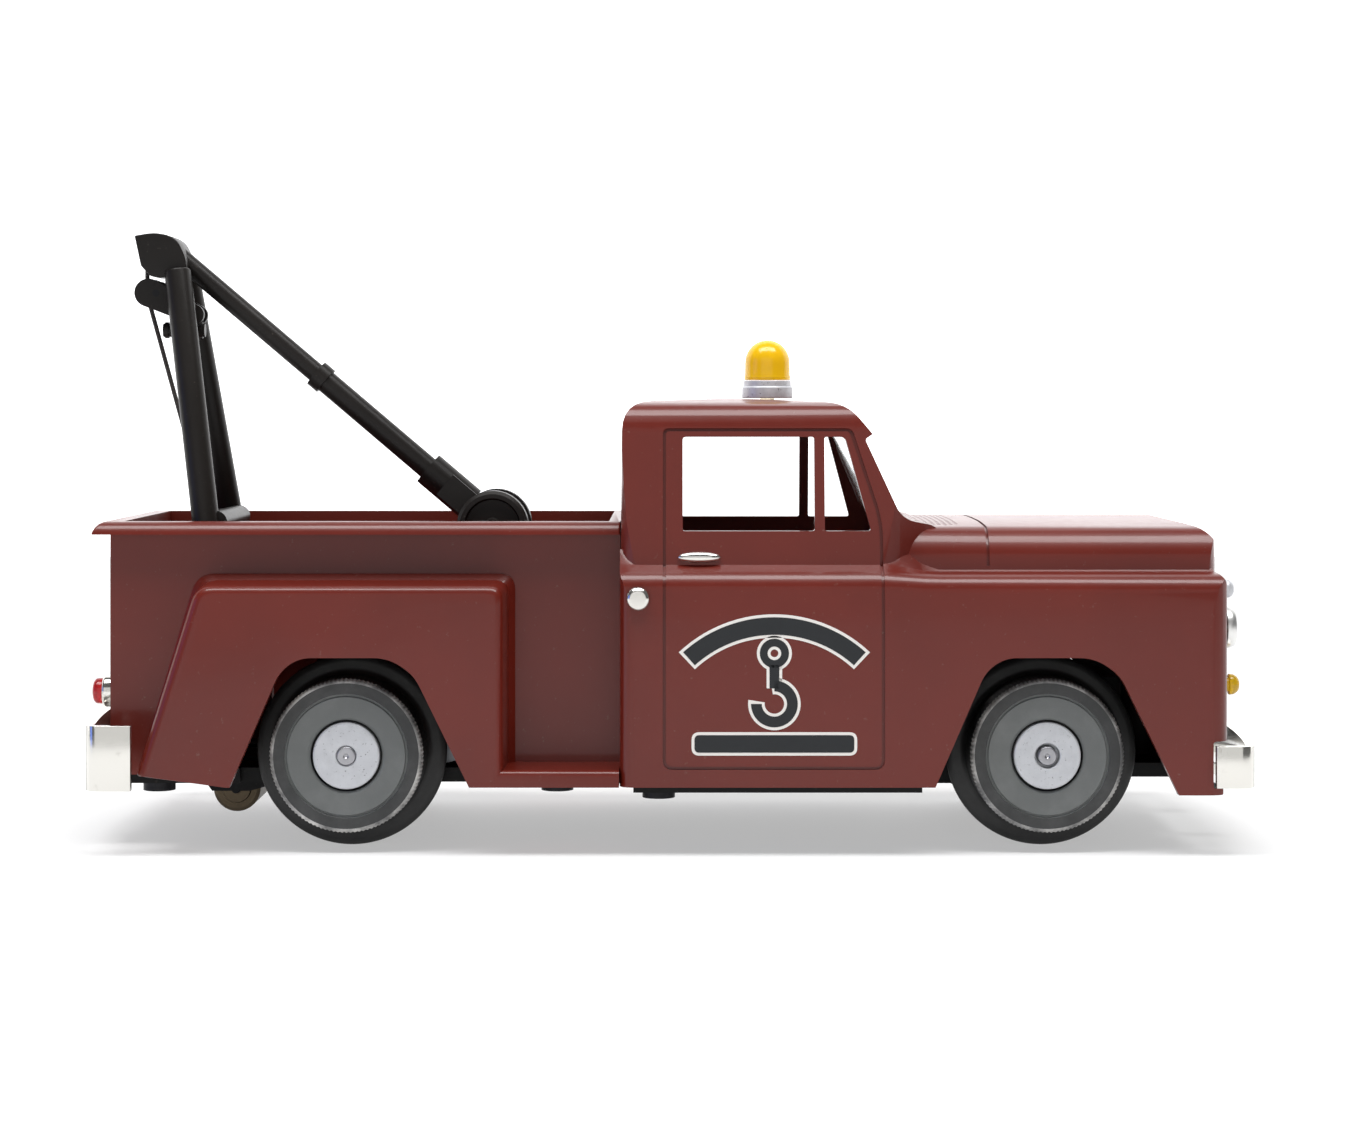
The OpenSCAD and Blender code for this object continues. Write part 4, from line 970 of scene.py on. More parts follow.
@dataclass
class Cab:
    """The cab, bonnet and front fenders, moulded in one."""

    stance: Stance
    wall: float = 1.2
    line_width: float = 0.32
    line_depth: float = 0.28
    crown: float = 0.35

    def tub(self, inset: float) -> Shape:
        """The lower body from the cab's rear wall to the grille panel.

        Args:
            inset: How far every face stands in, in millimetres.

        Returns:
            The closed shape.
        """
        s, e = self.stance, inset
        half = s.half - e
        low = s.axle_z - 3.8 - (3 if e else 0)

        def section(shoulder_y: float, shoulder_z: float, edge_z: float) -> list[Corner]:
            """A section whose shoulder starts at the given place."""
            return mirrored(
                corners(
                    (0, shoulder_z + 1.5 - e),
                    (shoulder_y - 1.5 - e, shoulder_z + 1.5 - e),
                    (shoulder_y - e, shoulder_z - 0.5 * e, 0.01),
                    (half - 0.35, edge_z - 0.3 * e, 1.9),
                    (half, edge_z - 4.2, 1.0),
                    (half, low, 0.01),
                )
            )

        at_door = section(20.35, 29.75, 28.45)
        at_fender = section(18.5, 28.95, 28.75)
        rows = [
            (s.cab_x + e, at_door),
            (s.cab_x + 27.4, at_door),
            (s.cab_x + 29.2, section(19.9, 29.55, 28.55)),
            (s.cab_x + 31.4, section(18.9, 29.1, 28.7)),
            (s.cab_x + 33.2, at_fender),
            (s.nose_x - e, at_fender),
        ]
        shape = Shape.loft(rows, Axis.X)
        side = corners(
            (s.cab_x + e, s.low_z - (4 if e else 0)),
            (s.cab_x + e, 40),
            (s.nose_x - 2.6 - e, 40),
            (s.nose_x - 2.1 - e, 29.6 - e, 1.0),
            (s.nose_x - 0.35 - e, 27.7 - e, 1.5),
            (s.nose_x - e, 24.0, 1.5),
            (s.nose_x - e, 17.0, 1.5),
            (s.nose_x - 0.5 - e, s.axle_z + 1.7 + e, 0.3),
            (s.nose_x - 2.3 - e, s.axle_z + 1.7 + e, 0.3),
            (s.nose_x - 2.3 - e, s.low_z - (4 if e else 0.1), 0.2),
            (s.nose_x - 1.2 - e, s.low_z - (4 if e else 0.1), 0.2),
            (s.nose_x - 1.2 - e, s.axle_z - 3.8 - (5 if e else 0), 0.2),
            (s.front_x + 11.2, s.axle_z - 3.8 - (5 if e else 0), 0.2),
            (s.front_x + 11.2, s.low_z - (5 if e else 0)),
        )
        plan = both_sides(
            corners((s.cab_x + e, -half, 1.6), (s.nose_x - 0.7 - e, -half, 2.3), (s.nose_x - e, -13.0, 4.0))
        )
        return shape.common(
            Shape.prism(side, Axis.Y, -BEYOND, BEYOND),
            Shape.prism(plan, Axis.Z, -2, 60),
        )

    def greenhouse(self, inset: float) -> Shape:
        """The upper cab with its roof, pillars and cowl.

        Args:
            inset: How far every face stands in, in millimetres.

        Returns:
            The closed shape.
        """
        s, e = self.stance, inset
        x, roof = s.cab_x + e, s.roof_z - e
        side = corners(
            (x, 27.5),
            (x + 0.2, s.roof_z - 0.4 - e, 3.0),
            (s.cab_x + 12.0, roof, 4.0),
            (s.cab_x + 23.6 - 0.6 * e, roof - 0.5, 2.2),
            (s.cab_x + 26.3 - e, s.roof_z - 3.75 - 0.4 * e, 0.12),
            (s.cab_x + 25.5 - e, s.roof_z - 4.3, 0.3),
            (s.cab_x + 29.3 - e, s.hood_z + 0.9, 1.6),
            (s.cab_x + 33.0 - e, s.hood_z + 0.1 - e, 1.0),
            (s.cab_x + 34.0 - e, s.hood_z - 1.0 - e),
            (s.cab_x + 34.0 - e, 27.5),
        )
        section = mirrored(
            corners(
                (0, roof),
                (8.0, roof, 4.0),
                (18.2 - 0.9 * e, s.roof_z - 0.6 - e, 2.9),
                (20.45 - e, 29.3),
                (20.5 - e, 27.5),
            )
        )
        plan = both_sides(
            corners(
                (x, e - 20.6, 3.0),
                (s.cab_x + 27.6, e - 20.6, 2.0),
                (s.cab_x + 32.4, e - 15.8, 2.0),
                (s.cab_x + 34.0, e - 15.8),
            )
        )
        return Shape.prism(side, Axis.Y, -24, 24).common(
            Shape.prism(section, Axis.X, s.cab_x - 3, s.cab_x + 40),
            Shape.prism(plan, Axis.Z, 20, 60),
        )

    def hood(self, inset: float) -> Shape:
        """The bonnet, from inside the cowl to the nose.

        Args:
            inset: How far every face stands in, in millimetres.

        Returns:
            The closed shape.
        """
        s, e = self.stance, inset
        top = s.hood_z + self.crown - e
        side = corners(
            (s.cab_x + 26.0, 27.0),
            (s.cab_x + 26.0, top),
            (s.cab_x + 40.0, top + 0.05, 5.0),
            (s.nose_x - 2.7 - e, top - 0.1, 1.9),
            (s.nose_x - 0.55 - e, s.hood_z - 1.9 - e, 1.6),
            (s.nose_x - 0.15 - e, 27.0),
        )
        section = mirrored(
            corners(
                (0, top),
                (9.0, top - 0.05, 4.0),
                (16.2 - e, s.hood_z - 0.05 - e, 1.9),
                (18.05 - e, s.hood_z - 2.0 - 0.5 * e, 1.9),
                (18.6 - e, 27.0),
            )
        )
        plan = both_sides(
            corners(
                (s.cab_x + 26.0, e - 19.0), (s.nose_x - 1.6 - e, e - 19.0, 2.2), (s.nose_x - 0.1 - e, -12.0, 5.0)
            )
        )
        return Shape.prism(side, Axis.Y, -24, 24).common(
            Shape.prism(section, Axis.X, s.cab_x + 20, s.nose_x + 3),
            Shape.prism(plan, Axis.Z, 20, 60),
        )

    def outer(self, inset: float) -> Shape:
        """The whole outside of the moulding, with every face standing in by the inset."""
        return self.tub(inset).joined(self.greenhouse(inset), self.hood(inset))

    def door_outline(self, grow: float) -> list[Corner]:
        """Outline of the door, grown by a width in millimetres."""
        s, g = self.stance, grow
        x = s.cab_x
        return corners(
            (x + 4.6 - g, s.low_z + 2.0 - g, 0.9 + g),
            (x + 4.6 - g, s.roof_z - 3.3 + g, 0.5 + g),
            (x + 24.0 + g, s.roof_z - 3.3 + g, 0.5 + g),
            (x + 27.1 + g, s.hood_z + 0.7, 2.0),
            (x + 27.1 + g, s.low_z + 2.0 - g, 0.9 + g),
        )

    def door_lines(self) -> list[Shape]:
        """Cutters for the thin gap round each door."""
        rings = []
        for near, far in ((-BEYOND, -15.0), (15.0, BEYOND)):
            rings.append(
                Shape.prism(self.door_outline(self.line_width / 2), Axis.Y, near, far).cut(
                    Shape.prism(self.door_outline(-self.line_width / 2), Axis.Y, near - 1, far + 1)
                )
            )
        return rings

    def side_openings(self) -> list[Shape]:
        """Cutters for the side windows and the quarter lights."""
        s = self.stance
        x, sill, head = s.cab_x, s.hood_z - 0.3, s.roof_z - 4.05
        main = corners((x + 6.5, sill, 0.25), (x + 6.5, head, 0.35), (x + 20.2, head, 0.25), (x + 20.2, sill, 0.25))
        quarter = corners(
            (x + 21.25, sill, 0.25), (x + 21.25, head, 0.25), (x + 23.4, head, 0.5), (x + 26.05, sill, 0.35)
        )
        return [Shape.prism(outline, Axis.Y, -BEYOND, BEYOND) for outline in (main, quarter)]

    def glass_openings(self) -> list[Shape]:
        """Cutters for the windscreen and the rear window."""
        s = self.stance
        wide = 16.4
        screen = corners(
            (-wide, s.hood_z + 1.6, 1.0), (wide, s.hood_z + 1.6, 1.0),
            (wide - 0.9, s.roof_z - 4.8, 1.2), (-wide + 0.9, s.roof_z - 4.8, 1.2),
        )
        rear = corners(
            (-12.4, s.hood_z + 0.9, 1.0), (12.4, s.hood_z + 0.9, 1.0),
            (12.4, s.roof_z - 4.8, 1.0), (-12.4, s.roof_z - 4.8, 1.0),
        )
        return [
            Shape.prism(screen, Axis.X, s.cab_x + 21.9, s.cab_x + 32),
            Shape.prism(rear, Axis.X, s.cab_x - 2, s.cab_x + 2.6),
        ]

    def sunk_lines(self) -> list[Shape]:
        """Cutters for the bonnet's rear seam and the cowl's air grid."""
        s = self.stance
        seam_x = s.cab_x + 38.2
        pitch, drill = 1.3, 0.22 * MM
        holes = Shape()
        for row in range(9):
            for column in range(22):
                x = s.cab_x + 30.6 + row * 0.62
                y = (column - 10.5) * pitch + (pitch / 2 if row % 2 else 0.0)
                made = bmesh.ops.create_cone(
                    holes.bm, cap_ends=True, segments=6, radius1=drill, radius2=drill, depth=1.0 * MM
                )["verts"]
                bmesh.ops.translate(holes.bm, verts=made, vec=spot(x, y, s.hood_z + 0.5))
        seam = Shape.block((seam_x, -19, s.hood_z - 4.0), (seam_x + 0.3, 19, s.hood_z + 3))
        return [seam, holes]

    def front_sockets(self) -> list[Shape]:
        """Cutters for the lamp holes and the bumper brackets."""
        s = self.stance
        tools = []
        for side in (-1, 1):
            y = side * (s.half - 6.5)
            middle = spot(s.nose_x, y, s.axle_z + 13)
            tools.append(Shape.rod(middle - Vector((3 * MM, 0, 0)), middle + Vector((2 * MM, 0, 0)), 1.3))
            tools.append(Shape.block((s.nose_x - 5, side * BOLT_Y - 1.3, 2), (s.nose_x + 1, side * BOLT_Y + 1.3, 8.7)))
        return tools

    def bosses(self) -> Shape:
        """The screw posts inside the moulding."""
        s = self.stance
        posts = Shape()
        for x, y, top in (
            (s.nose_x - 6.2, 0.0, s.hood_z - 0.6),
            (s.cab_x + 4.0, s.half - 5.0, 25.5),
            (s.cab_x + 4.0, 5.0 - s.half, 25.5),
        ):
            posts.with_shape(Shape.post(x, y, top, 2.2))
        return posts

    def build(self) -> None:
        """Carves the moulding and dresses it."""
        s = self.stance
        lines = [ring.cut(self.outer(self.line_depth)) for ring in self.door_lines()]
        seam, holes = self.sunk_lines()
        seam = seam.cut(self.outer(self.line_depth))
        holes = holes.cut(self.outer(0.5))
        shell = self.outer(0.0).cut(self.outer(self.wall))
        shell.cut(
            Shape.prism(s.arch(s.front_x), Axis.Y, -BEYOND, BEYOND),
            *self.side_openings(),
            *self.glass_openings(),
            *self.front_sockets(),
            Shape.block((s.cab_x - 2, -14.2, 2), (s.cab_x + 2.2, 14.2, SILL_Z)),
            Shape.rod(spot(s.cab_x + 15.9, 0, s.roof_z - 4), spot(s.cab_x + 15.9, 0, s.roof_z + 2), 0.9),
        )
        shell.cut(*lines, seam, holes)
        shell.cleaned()
        shell.with_shape(self.bosses())
        inside = (s.half - self.wall + 0.05) * MM
        front = (s.nose_x - self.wall + 0.05) * MM
        # Faces inside the walls below the sill get material 1, the painted shade of the unlit inside of the moulding.
        shell.painted(1, lambda m: abs(m.y) < inside and s.cab_x * MM + 0.001 < m.x < front and m.z < 0.0285)
        finish_piece(
            shell.as_object("cab_moulding"), "truck", [Finish.BODY, Finish.INSIDE],
            replaces=["cab_body"], bevel=0.16,
        )


@dataclass
class PickupBox:
    """The pickup box with its rim, rear fenders and running boards."""

    stance: Stance
    wall: float = 1.2
    rim_over: float = 1.75
    rim_thick: float = 1.3

    def fender_outline(self, grow: float) -> list[Corner]:
        """Outline of a rear fender, grown by a width in millimetres."""
        s, g = self.stance, grow
        low = s.low_z
        return corners(
            (s.rear_x - 21.3 - 1.1 * g, low + 1.15, 0.3),
            (s.rear_x - 15.2 - 1.05 * g, s.axle_z + 17.55 + g, 1.6 + 0.3 * g),
            (s.rear_x + 16.2 + g, s.axle_z + 17.55 + g, 1.4 + 0.3 * g),
            (s.rear_x + 16.2 + g, low, 0.3),
            (s.rear_x - 12.2, low, 0.3),
        )

    def fender(self) -> Shape:
        """The left fender as a bulge with soft edges."""
        s = self.stance
        out = s.half
        rows = [
            (s.box_half - 0.6, self.fender_outline(1.0)),
            (s.box_half + 0.15, self.fender_outline(1.0)),
            (s.box_half + 0.9, self.fender_outline(0.35)),
            (out - 0.85, self.fender_outline(0.1)),
            (out - 0.42, self.fender_outline(-0.02)),
            (out - 0.12, self.fender_outline(-0.3)),
            (out, self.fender_outline(-0.75)),
        ]
        return Shape.loft(rows, Axis.Y)

    def running_board(self) -> Shape:
        """The left ledge between the fender and the cab."""
        s = self.stance
        section = corners(
            (s.box_half - 1.0, s.low_z), (s.box_half - 1.0, s.low_z + 1.75),
            (s.half - 0.1, s.low_z + 1.7, 0.7), (s.half, s.low_z),
        )
        return Shape.prism(section, Axis.X, s.rear_x + 15.0, s.cab_x - SEAM)

    def rim(self) -> Shape:
        """The flat flange round the top of the box."""
        s = self.stance
        wide = s.box_half + self.rim_over
        rows = []
        for drop, inset in ((self.rim_thick, 0.0), (1.0, 0.08), (0.6, 0.3), (0.22, 0.65), (0.0, 1.1)):
            rim = corners((s.bed_x - self.rim_over + inset, inset - wide, 0.4), (s.cab_x - SEAM, inset - wide, 0.2))
            rows.append((s.rim_z - drop, both_sides(rim)))
        inner = both_sides(corners((s.bed_x + 1.9, 1.5 - s.box_half, 0.4), (s.cab_x - 4.7, 1.5 - s.box_half, 0.4)))
        return Shape.loft(rows, Axis.Z).cut(Shape.prism(inner, Axis.Z, s.rim_z - 4, s.rim_z + 2))

    def build(self) -> None:
        """Carves the moulding and dresses it."""
        s = self.stance
        half, w = s.box_half, self.wall
        walls = Shape.block((s.bed_x, -half, s.low_z + 0.4), (s.cab_x - SEAM, half, s.rim_z - 0.5))
        left = self.fender().joined(self.running_board())
        outside = walls.joined(left.mirrored_copy(), left, self.rim())
        hollow = Shape.block((s.bed_x + w, -half + w, s.low_z - 3), (s.cab_x - w - SEAM, half - w, s.rim_z + 3))
        well = corners(
            (s.rear_x - 20.0, s.low_z - 4), (s.rear_x - 14.6, s.axle_z + 16.3, 1.0),
            (s.rear_x + 14.9, s.axle_z + 16.3, 1.0), (s.rear_x + 14.9, s.low_z - 4),
        )
        outside.cut(
            hollow,
            Shape.prism(well, Axis.Y, half + 0.5, s.half - w),
            Shape.prism(well, Axis.Y, w - s.half, -half - 0.5),
            Shape.prism(s.arch(s.rear_x), Axis.Y, s.half - 3, s.half + 3),
            Shape.prism(s.arch(s.rear_x), Axis.Y, -s.half - 3, 3 - s.half),
            Shape.block((s.rear_x - 12.5, -half - 2, 2), (s.rear_x + 12.5, half + 2, s.axle_z + 11)),
            Shape.block((s.cab_x - 4, -14.2, 2), (s.cab_x + 1, 14.2, SILL_Z)),
        )
        outside.cleaned()
        outside.with_shape(self.bosses())
        finish_piece(
            outside.as_object("pickup_box"), "truck", [Finish.BODY],
            replaces=["bed_body"], bevel=0.16,
        )

    def bosses(self) -> Shape:
        """The screw posts in the corners of the box."""
        s = self.stance
        posts = Shape()
        y = s.box_half - self.wall - 2.1
        for x in (s.bed_x + 4.6, s.cab_x - 6.8):
            for side in (-1, 1):
                posts.with_shape(Shape.post(x, side * y, 21.4, 2.1))
        return posts


class DoorSign:
    """A generic sign on each door: a hook between a curved and a straight stripe."""

    def __init__(self, stance: Stance) -> None:
        """Keeps the stance."""
        self.stance = stance
        self.centre_x = stance.cab_x + 15.9
        self.centre_z = 17.0

    def sector(self, x: float, z: float, inner: float, outer: float, start: float, sweep: float, y: float) -> Shape:
        """Part of a flat ring, as a thin plate.

        Args:
            x: Centre of the ring, in millimetres.
            z: Centre of the ring, in millimetres.
            inner: Inner radius, in millimetres.
            outer: Outer radius, in millimetres.
            start: First angle in degrees from +X towards +Z.
            sweep: Angle of the part, in degrees.
            y: Face of the plate, in millimetres.

        Returns:
            The plate.
        """
        shape = Shape()
        centre = spot(x, y, z)
        lean = Vector((math.cos(math.radians(start)), 0, math.sin(math.radians(start))))
        verts = [shape.bm.verts.new(centre + lean * radius * MM) for radius in (inner, outer)]
        edge = shape.bm.edges.new(verts)
        bmesh.ops.spin(
            shape.bm, geom=verts + [edge], cent=centre, axis=(0, -1, 0), angle=math.radians(sweep), steps=36,
            use_merge=False, use_duplicate=False,
        )
        return self.thickened(shape)

    def bar(self, low: tuple[float, float], high: tuple[float, float], y: float, round_by: float) -> Shape:
        """A flat bar with rounded corners, as a thin plate."""
        outline = corners(
            (low[0], low[1], round_by),
            (low[0], high[1], round_by),
            (high[0], high[1], round_by),
            (high[0], low[1], round_by),
        )
        shape = Shape()
        shape.bm.faces.new([shape.bm.verts.new(Axis.Y.point(u, v, y * MM)) for u, v in rounded(outline)])
        return self.thickened(shape)

    @staticmethod
    def thickened(shape: Shape) -> Shape:
        """Gives a flat shape its print thickness towards the middle plane."""
        grown = bmesh.ops.extrude_face_region(shape.bm, geom=shape.bm.faces[:])["geom"]
        moved = [item for item in grown if isinstance(item, bmesh.types.BMVert)]
        bmesh.ops.translate(shape.bm, verts=moved, vec=(0, 0.05 * MM, 0))
        return shape.outward()

    def artwork(self, grow: float, y: float) -> Shape:
        """All the sign's strokes, each grown by a width in millimetres."""
        x, z, g = self.centre_x, self.centre_z, grow
        reach = math.degrees(g / 13.0)
        art = self.sector(x, z - 6.5, 12.2 - g, 14.0 + g, 48 - reach, 84 + 2 * reach, y)
        art.with_shape(self.bar((x - 8.2 - g, z - 6.4 - g), (x + 8.2 + g, z - 4.6 + g), y, 0.5 + g))
        art.with_shape(self.hook(g, y))
        return art

    def hook(self, g: float, y: float) -> Shape:
        """The hook in the middle of the sign."""
        x, z = self.centre_x, self.centre_z
        eye = self.sector(x, z + 3.8, 0.7 - min(g, 0.4), 1.5 + g, 0, 360, y)
        shank = self.bar((x - 0.5 - g, z + 0.2), (x + 0.5 + g, z + 2.6), y, 0.1)
        reach = math.degrees(g / 1.9)
        bend = self.sector(x, z - 1.4, 1.3 - g, 2.4 + g, -180 - reach, 270 + 2 * reach, y)
        return eye.with_shape(shank).with_shape(bend)

    def build(self) -> None:
        """Lays the white and the black print on both doors."""
        for side, name in ((-1, "right"), (1, "left")):
            for finish, grow, lift in ((Finish.PRINT_WHITE, 0.3, 0.02), (Finish.PRINT_BLACK, 0.0, 0.035)):
                art = self.artwork(grow, -self.stance.half - lift)
                if side > 0:
                    art = art.mirrored_copy()
                label = "border" if finish is Finish.PRINT_WHITE else "sign"
                finish_piece(art.as_object(f"door_{label}_{name}"), "truck", [finish])


@dataclass
class Wheel:
    """One wheel: a dark flanged rim with a knurled edge and a zinc hub."""

    name: str
    body: str
    hub_node: str | None
    side: int
    bore: float
    tread_r: float = 8.0
    teeth: int = 112
    notch: float = 0.10

    def build(self) -> None:
        """Turns the rim and the hub and dresses them."""
        tyre_node = "{}_tyre_{}".format(*self.name.split("_"))
        low, high = node_box(tyre_node)
        centre = middle_of(low, high)
        back, face = (low.y, high.y) if self.side > 0 else (-high.y, -low.y)
        gauge = back + 1.3
        flange = (high.z - low.z) / 2
        r = self.tread_r
        rim = corners(
            (2.2, back), (flange - 0.5, back, 0.3), (flange, back + 0.5, 0.35), (flange, gauge - 0.35, 0.3),
            (flange - 0.5, gauge - 0.05, 0.3), (r + 0.4, gauge + 0.05, 0.25), (r, gauge + 0.5, 0.25),
            (r, face - 0.5), (r - 0.18, face - 0.12), (r - 0.42, face, 0.1), (r - 1.58, face, 0.06),
            (r - 1.66, face - 0.28, 0.04), (r - 1.82, face - 0.28, 0.04), (r - 1.9, face - 0.05, 0.06),
            (3.98, face - 0.22, 0.1), (3.72, face - 0.42, 0.1), (3.6, face - 1.2), (2.2, face - 1.2),
        )
        shape = Shape.turned(rim, Axis.Y, centre, steps=2 * self.teeth, closed=True)
        self._knurl(shape, centre, face)
        edge = face - 0.52
        shape.painted(1, lambda m: self._radius(m, centre) < r - 1.62 and m.y / MM > face - 0.6)
        # Material 2 on the rounded outer edge is the painted highlight.
        shape.painted(2, lambda m: r - 0.45 < self._radius(m, centre) < r + 0.1 and m.y / MM > edge)
        shape.painted(3, lambda m: m.y / MM < edge)
        if self.side < 0:
            shape = shape.mirrored_copy()
        finish_piece(
            shape.as_object(f"{self.name}_tyre"), self.body,
            [Finish.TYRE, Finish.TYRE_FACE, Finish.TYRE_EDGE, Finish.TYRE_TREAD],
            replaces=[tyre_node], smooth=24,
        )
        self._hub(centre, back, face)

    @staticmethod
    def _radius(point: Vector, centre: Vector) -> float:
        """Distance of a point from the axle, in millimetres."""
        return math.hypot(point.x - centre.x, point.z - centre.z) / MM

    def _knurl(self, shape: Shape, centre: Vector, face: float) -> None:
        """Presses every second step of the outer edge inwards."""
        step = math.pi / self.teeth
        for vert in shape.bm.verts:
            radius = self._radius(vert.co, centre)
            if vert.co.y / MM < face - 0.6 or radius < self.tread_r - 0.3:
                continue
            turn = round(math.atan2(vert.co.z - centre.z, vert.co.x - centre.x) / step)
            if turn % 2:
                away = Vector((vert.co.x - centre.x, 0, vert.co.z - centre.z)).normalized()
                vert.co -= away * self.notch * MM

    def _hub(self, centre: Vector, back: float, face: float) -> None:
        """Turns the hub disc with the axle's end in it."""
        bore = self.bore
        disc = corners(
            (bore, face - 1.15), (3.46, face - 1.15), (3.46, face - 0.2, 0.12), (3.3, face - 0.08, 0.1),
            (bore + 0.12, face - 0.08, 0.05), (bore, face - 0.2, 0.04),
        )
        shape = Shape.turned(disc, Axis.Y, centre, steps=72, closed=True)
        collar = corners((1.05, back - 0.05), (2.15, back - 0.05), (2.15, face - 1.16), (1.05, face - 1.16))
        shape.with_shape(Shape.turned(collar, Axis.Y, centre, steps=48, closed=True))
        if self.side < 0:
            shape = shape.mirrored_copy()
        nodes = [self.hub_node] if self.hub_node else []
        finish_piece(shape.as_object(f"{self.name}_hub"), self.body, [Finish.ZINC], replaces=nodes)


@dataclass
class AxleEnds:
    """The bright ends of an axle with their turned faces."""

    node: str
    body: str
    label: str

    def build(self) -> None:
        """Makes the axle with rounded ends and a centre mark."""
        low, high = node_box(self.node)
        centre = middle_of(low, high)
        r, end = (high.z - low.z) / 2, high.y
        half = corners(
            (0, end - 0.16), (0.16, end - 0.14), (0.3, end - 0.02, 0.05),
            (r - 0.12, end, 0.08), (r, end - 0.16, 0.06), (r, 0),
        )
        shape = Shape.turned(half, Axis.Y, centre, steps=48)
        twin = shape.mirrored_copy()
        shape.with_shape(twin).merged().outward()
        finish_piece(
            shape.as_object(f"{self.label}_axle_rod"), self.body, [Finish.STEEL], replaces=[self.node]
        )


@dataclass
class Bumper:
    """A plated bumper, bowed in plan and wrapped round at its ends."""

    node: str
    way: int
    wrap: float
    name: str
    thick: float = 0.9
    bow: float = 1.7

    def path(self, tip: float, half: float, inset: float) -> list[tuple[float, float]]:
        """The plan line of one face, from one wrapped end to the other.

        Args:
            tip: Farthest point of the bumper, in millimetres.
            half: Half of its width, in millimetres.
            inset: How far the face stands in, in millimetres.

        Returns:
            Points in millimetres, as (x, y) with x forwards.
        """
        radius = (half * half + self.bow * self.bow) / (2 * self.bow)
        turn = 1.1 - 0.6 * inset
        edge = half - inset
        steps = 24
        points = [(tip - self.bow - self.wrap, -edge), (tip - self.bow - turn - 0.3, -edge)]
        for step in range(1, 5):
            t = step / 5
            points.append((tip - self.bow - turn * (1 - t) ** 2 - inset * t - 0.1, -edge + turn * t * t))
        for step in range(steps + 1):
            y = (edge - turn) * (2 * step / steps - 1)
            points.append((tip - inset - (radius - math.sqrt(radius * radius - y * y)), y))
        for x, y in reversed(points[:6]):
            points.append((x, -y))
        return points

    def build(self) -> None:
        """Pushes the plan up, rounds it and adds the brackets."""
        low, high = node_box(self.node)
        tip = high.x if self.way > 0 else -low.x
        base = low.z + (0.3 if self.way > 0 else 0.2)
        outer = self.path(tip, high.y, 0.0)
        inner = self.path(tip, high.y, self.thick)
        outline = [Corner(x, y) for x, y in outer + inner[::-1]]
        shape = Shape.prism(outline, Axis.Z, base, high.z)
        shape.merged(2e-6).rounded_edges(0.3, 3, 50)
        inside = tip - self.thick - 0.2
        reach = 5.0 if self.way > 0 else 4.2
        for side in (-1, 1):
            y = side * BOLT_Y
            shape.with_shape(Shape.block((inside - reach + 1.6, y - 1, low.z), (inside + 0.15, y + 1, low.z + 1.1)))
        if self.way < 0:
            bmesh.ops.scale(shape.bm, verts=shape.bm.verts[:], vec=(-1, 1, 1))
            shape.outward()
        finish_piece(
            shape.as_object(self.name), "truck", [Finish.CHROME], replaces=[self.node], smooth=40
        )


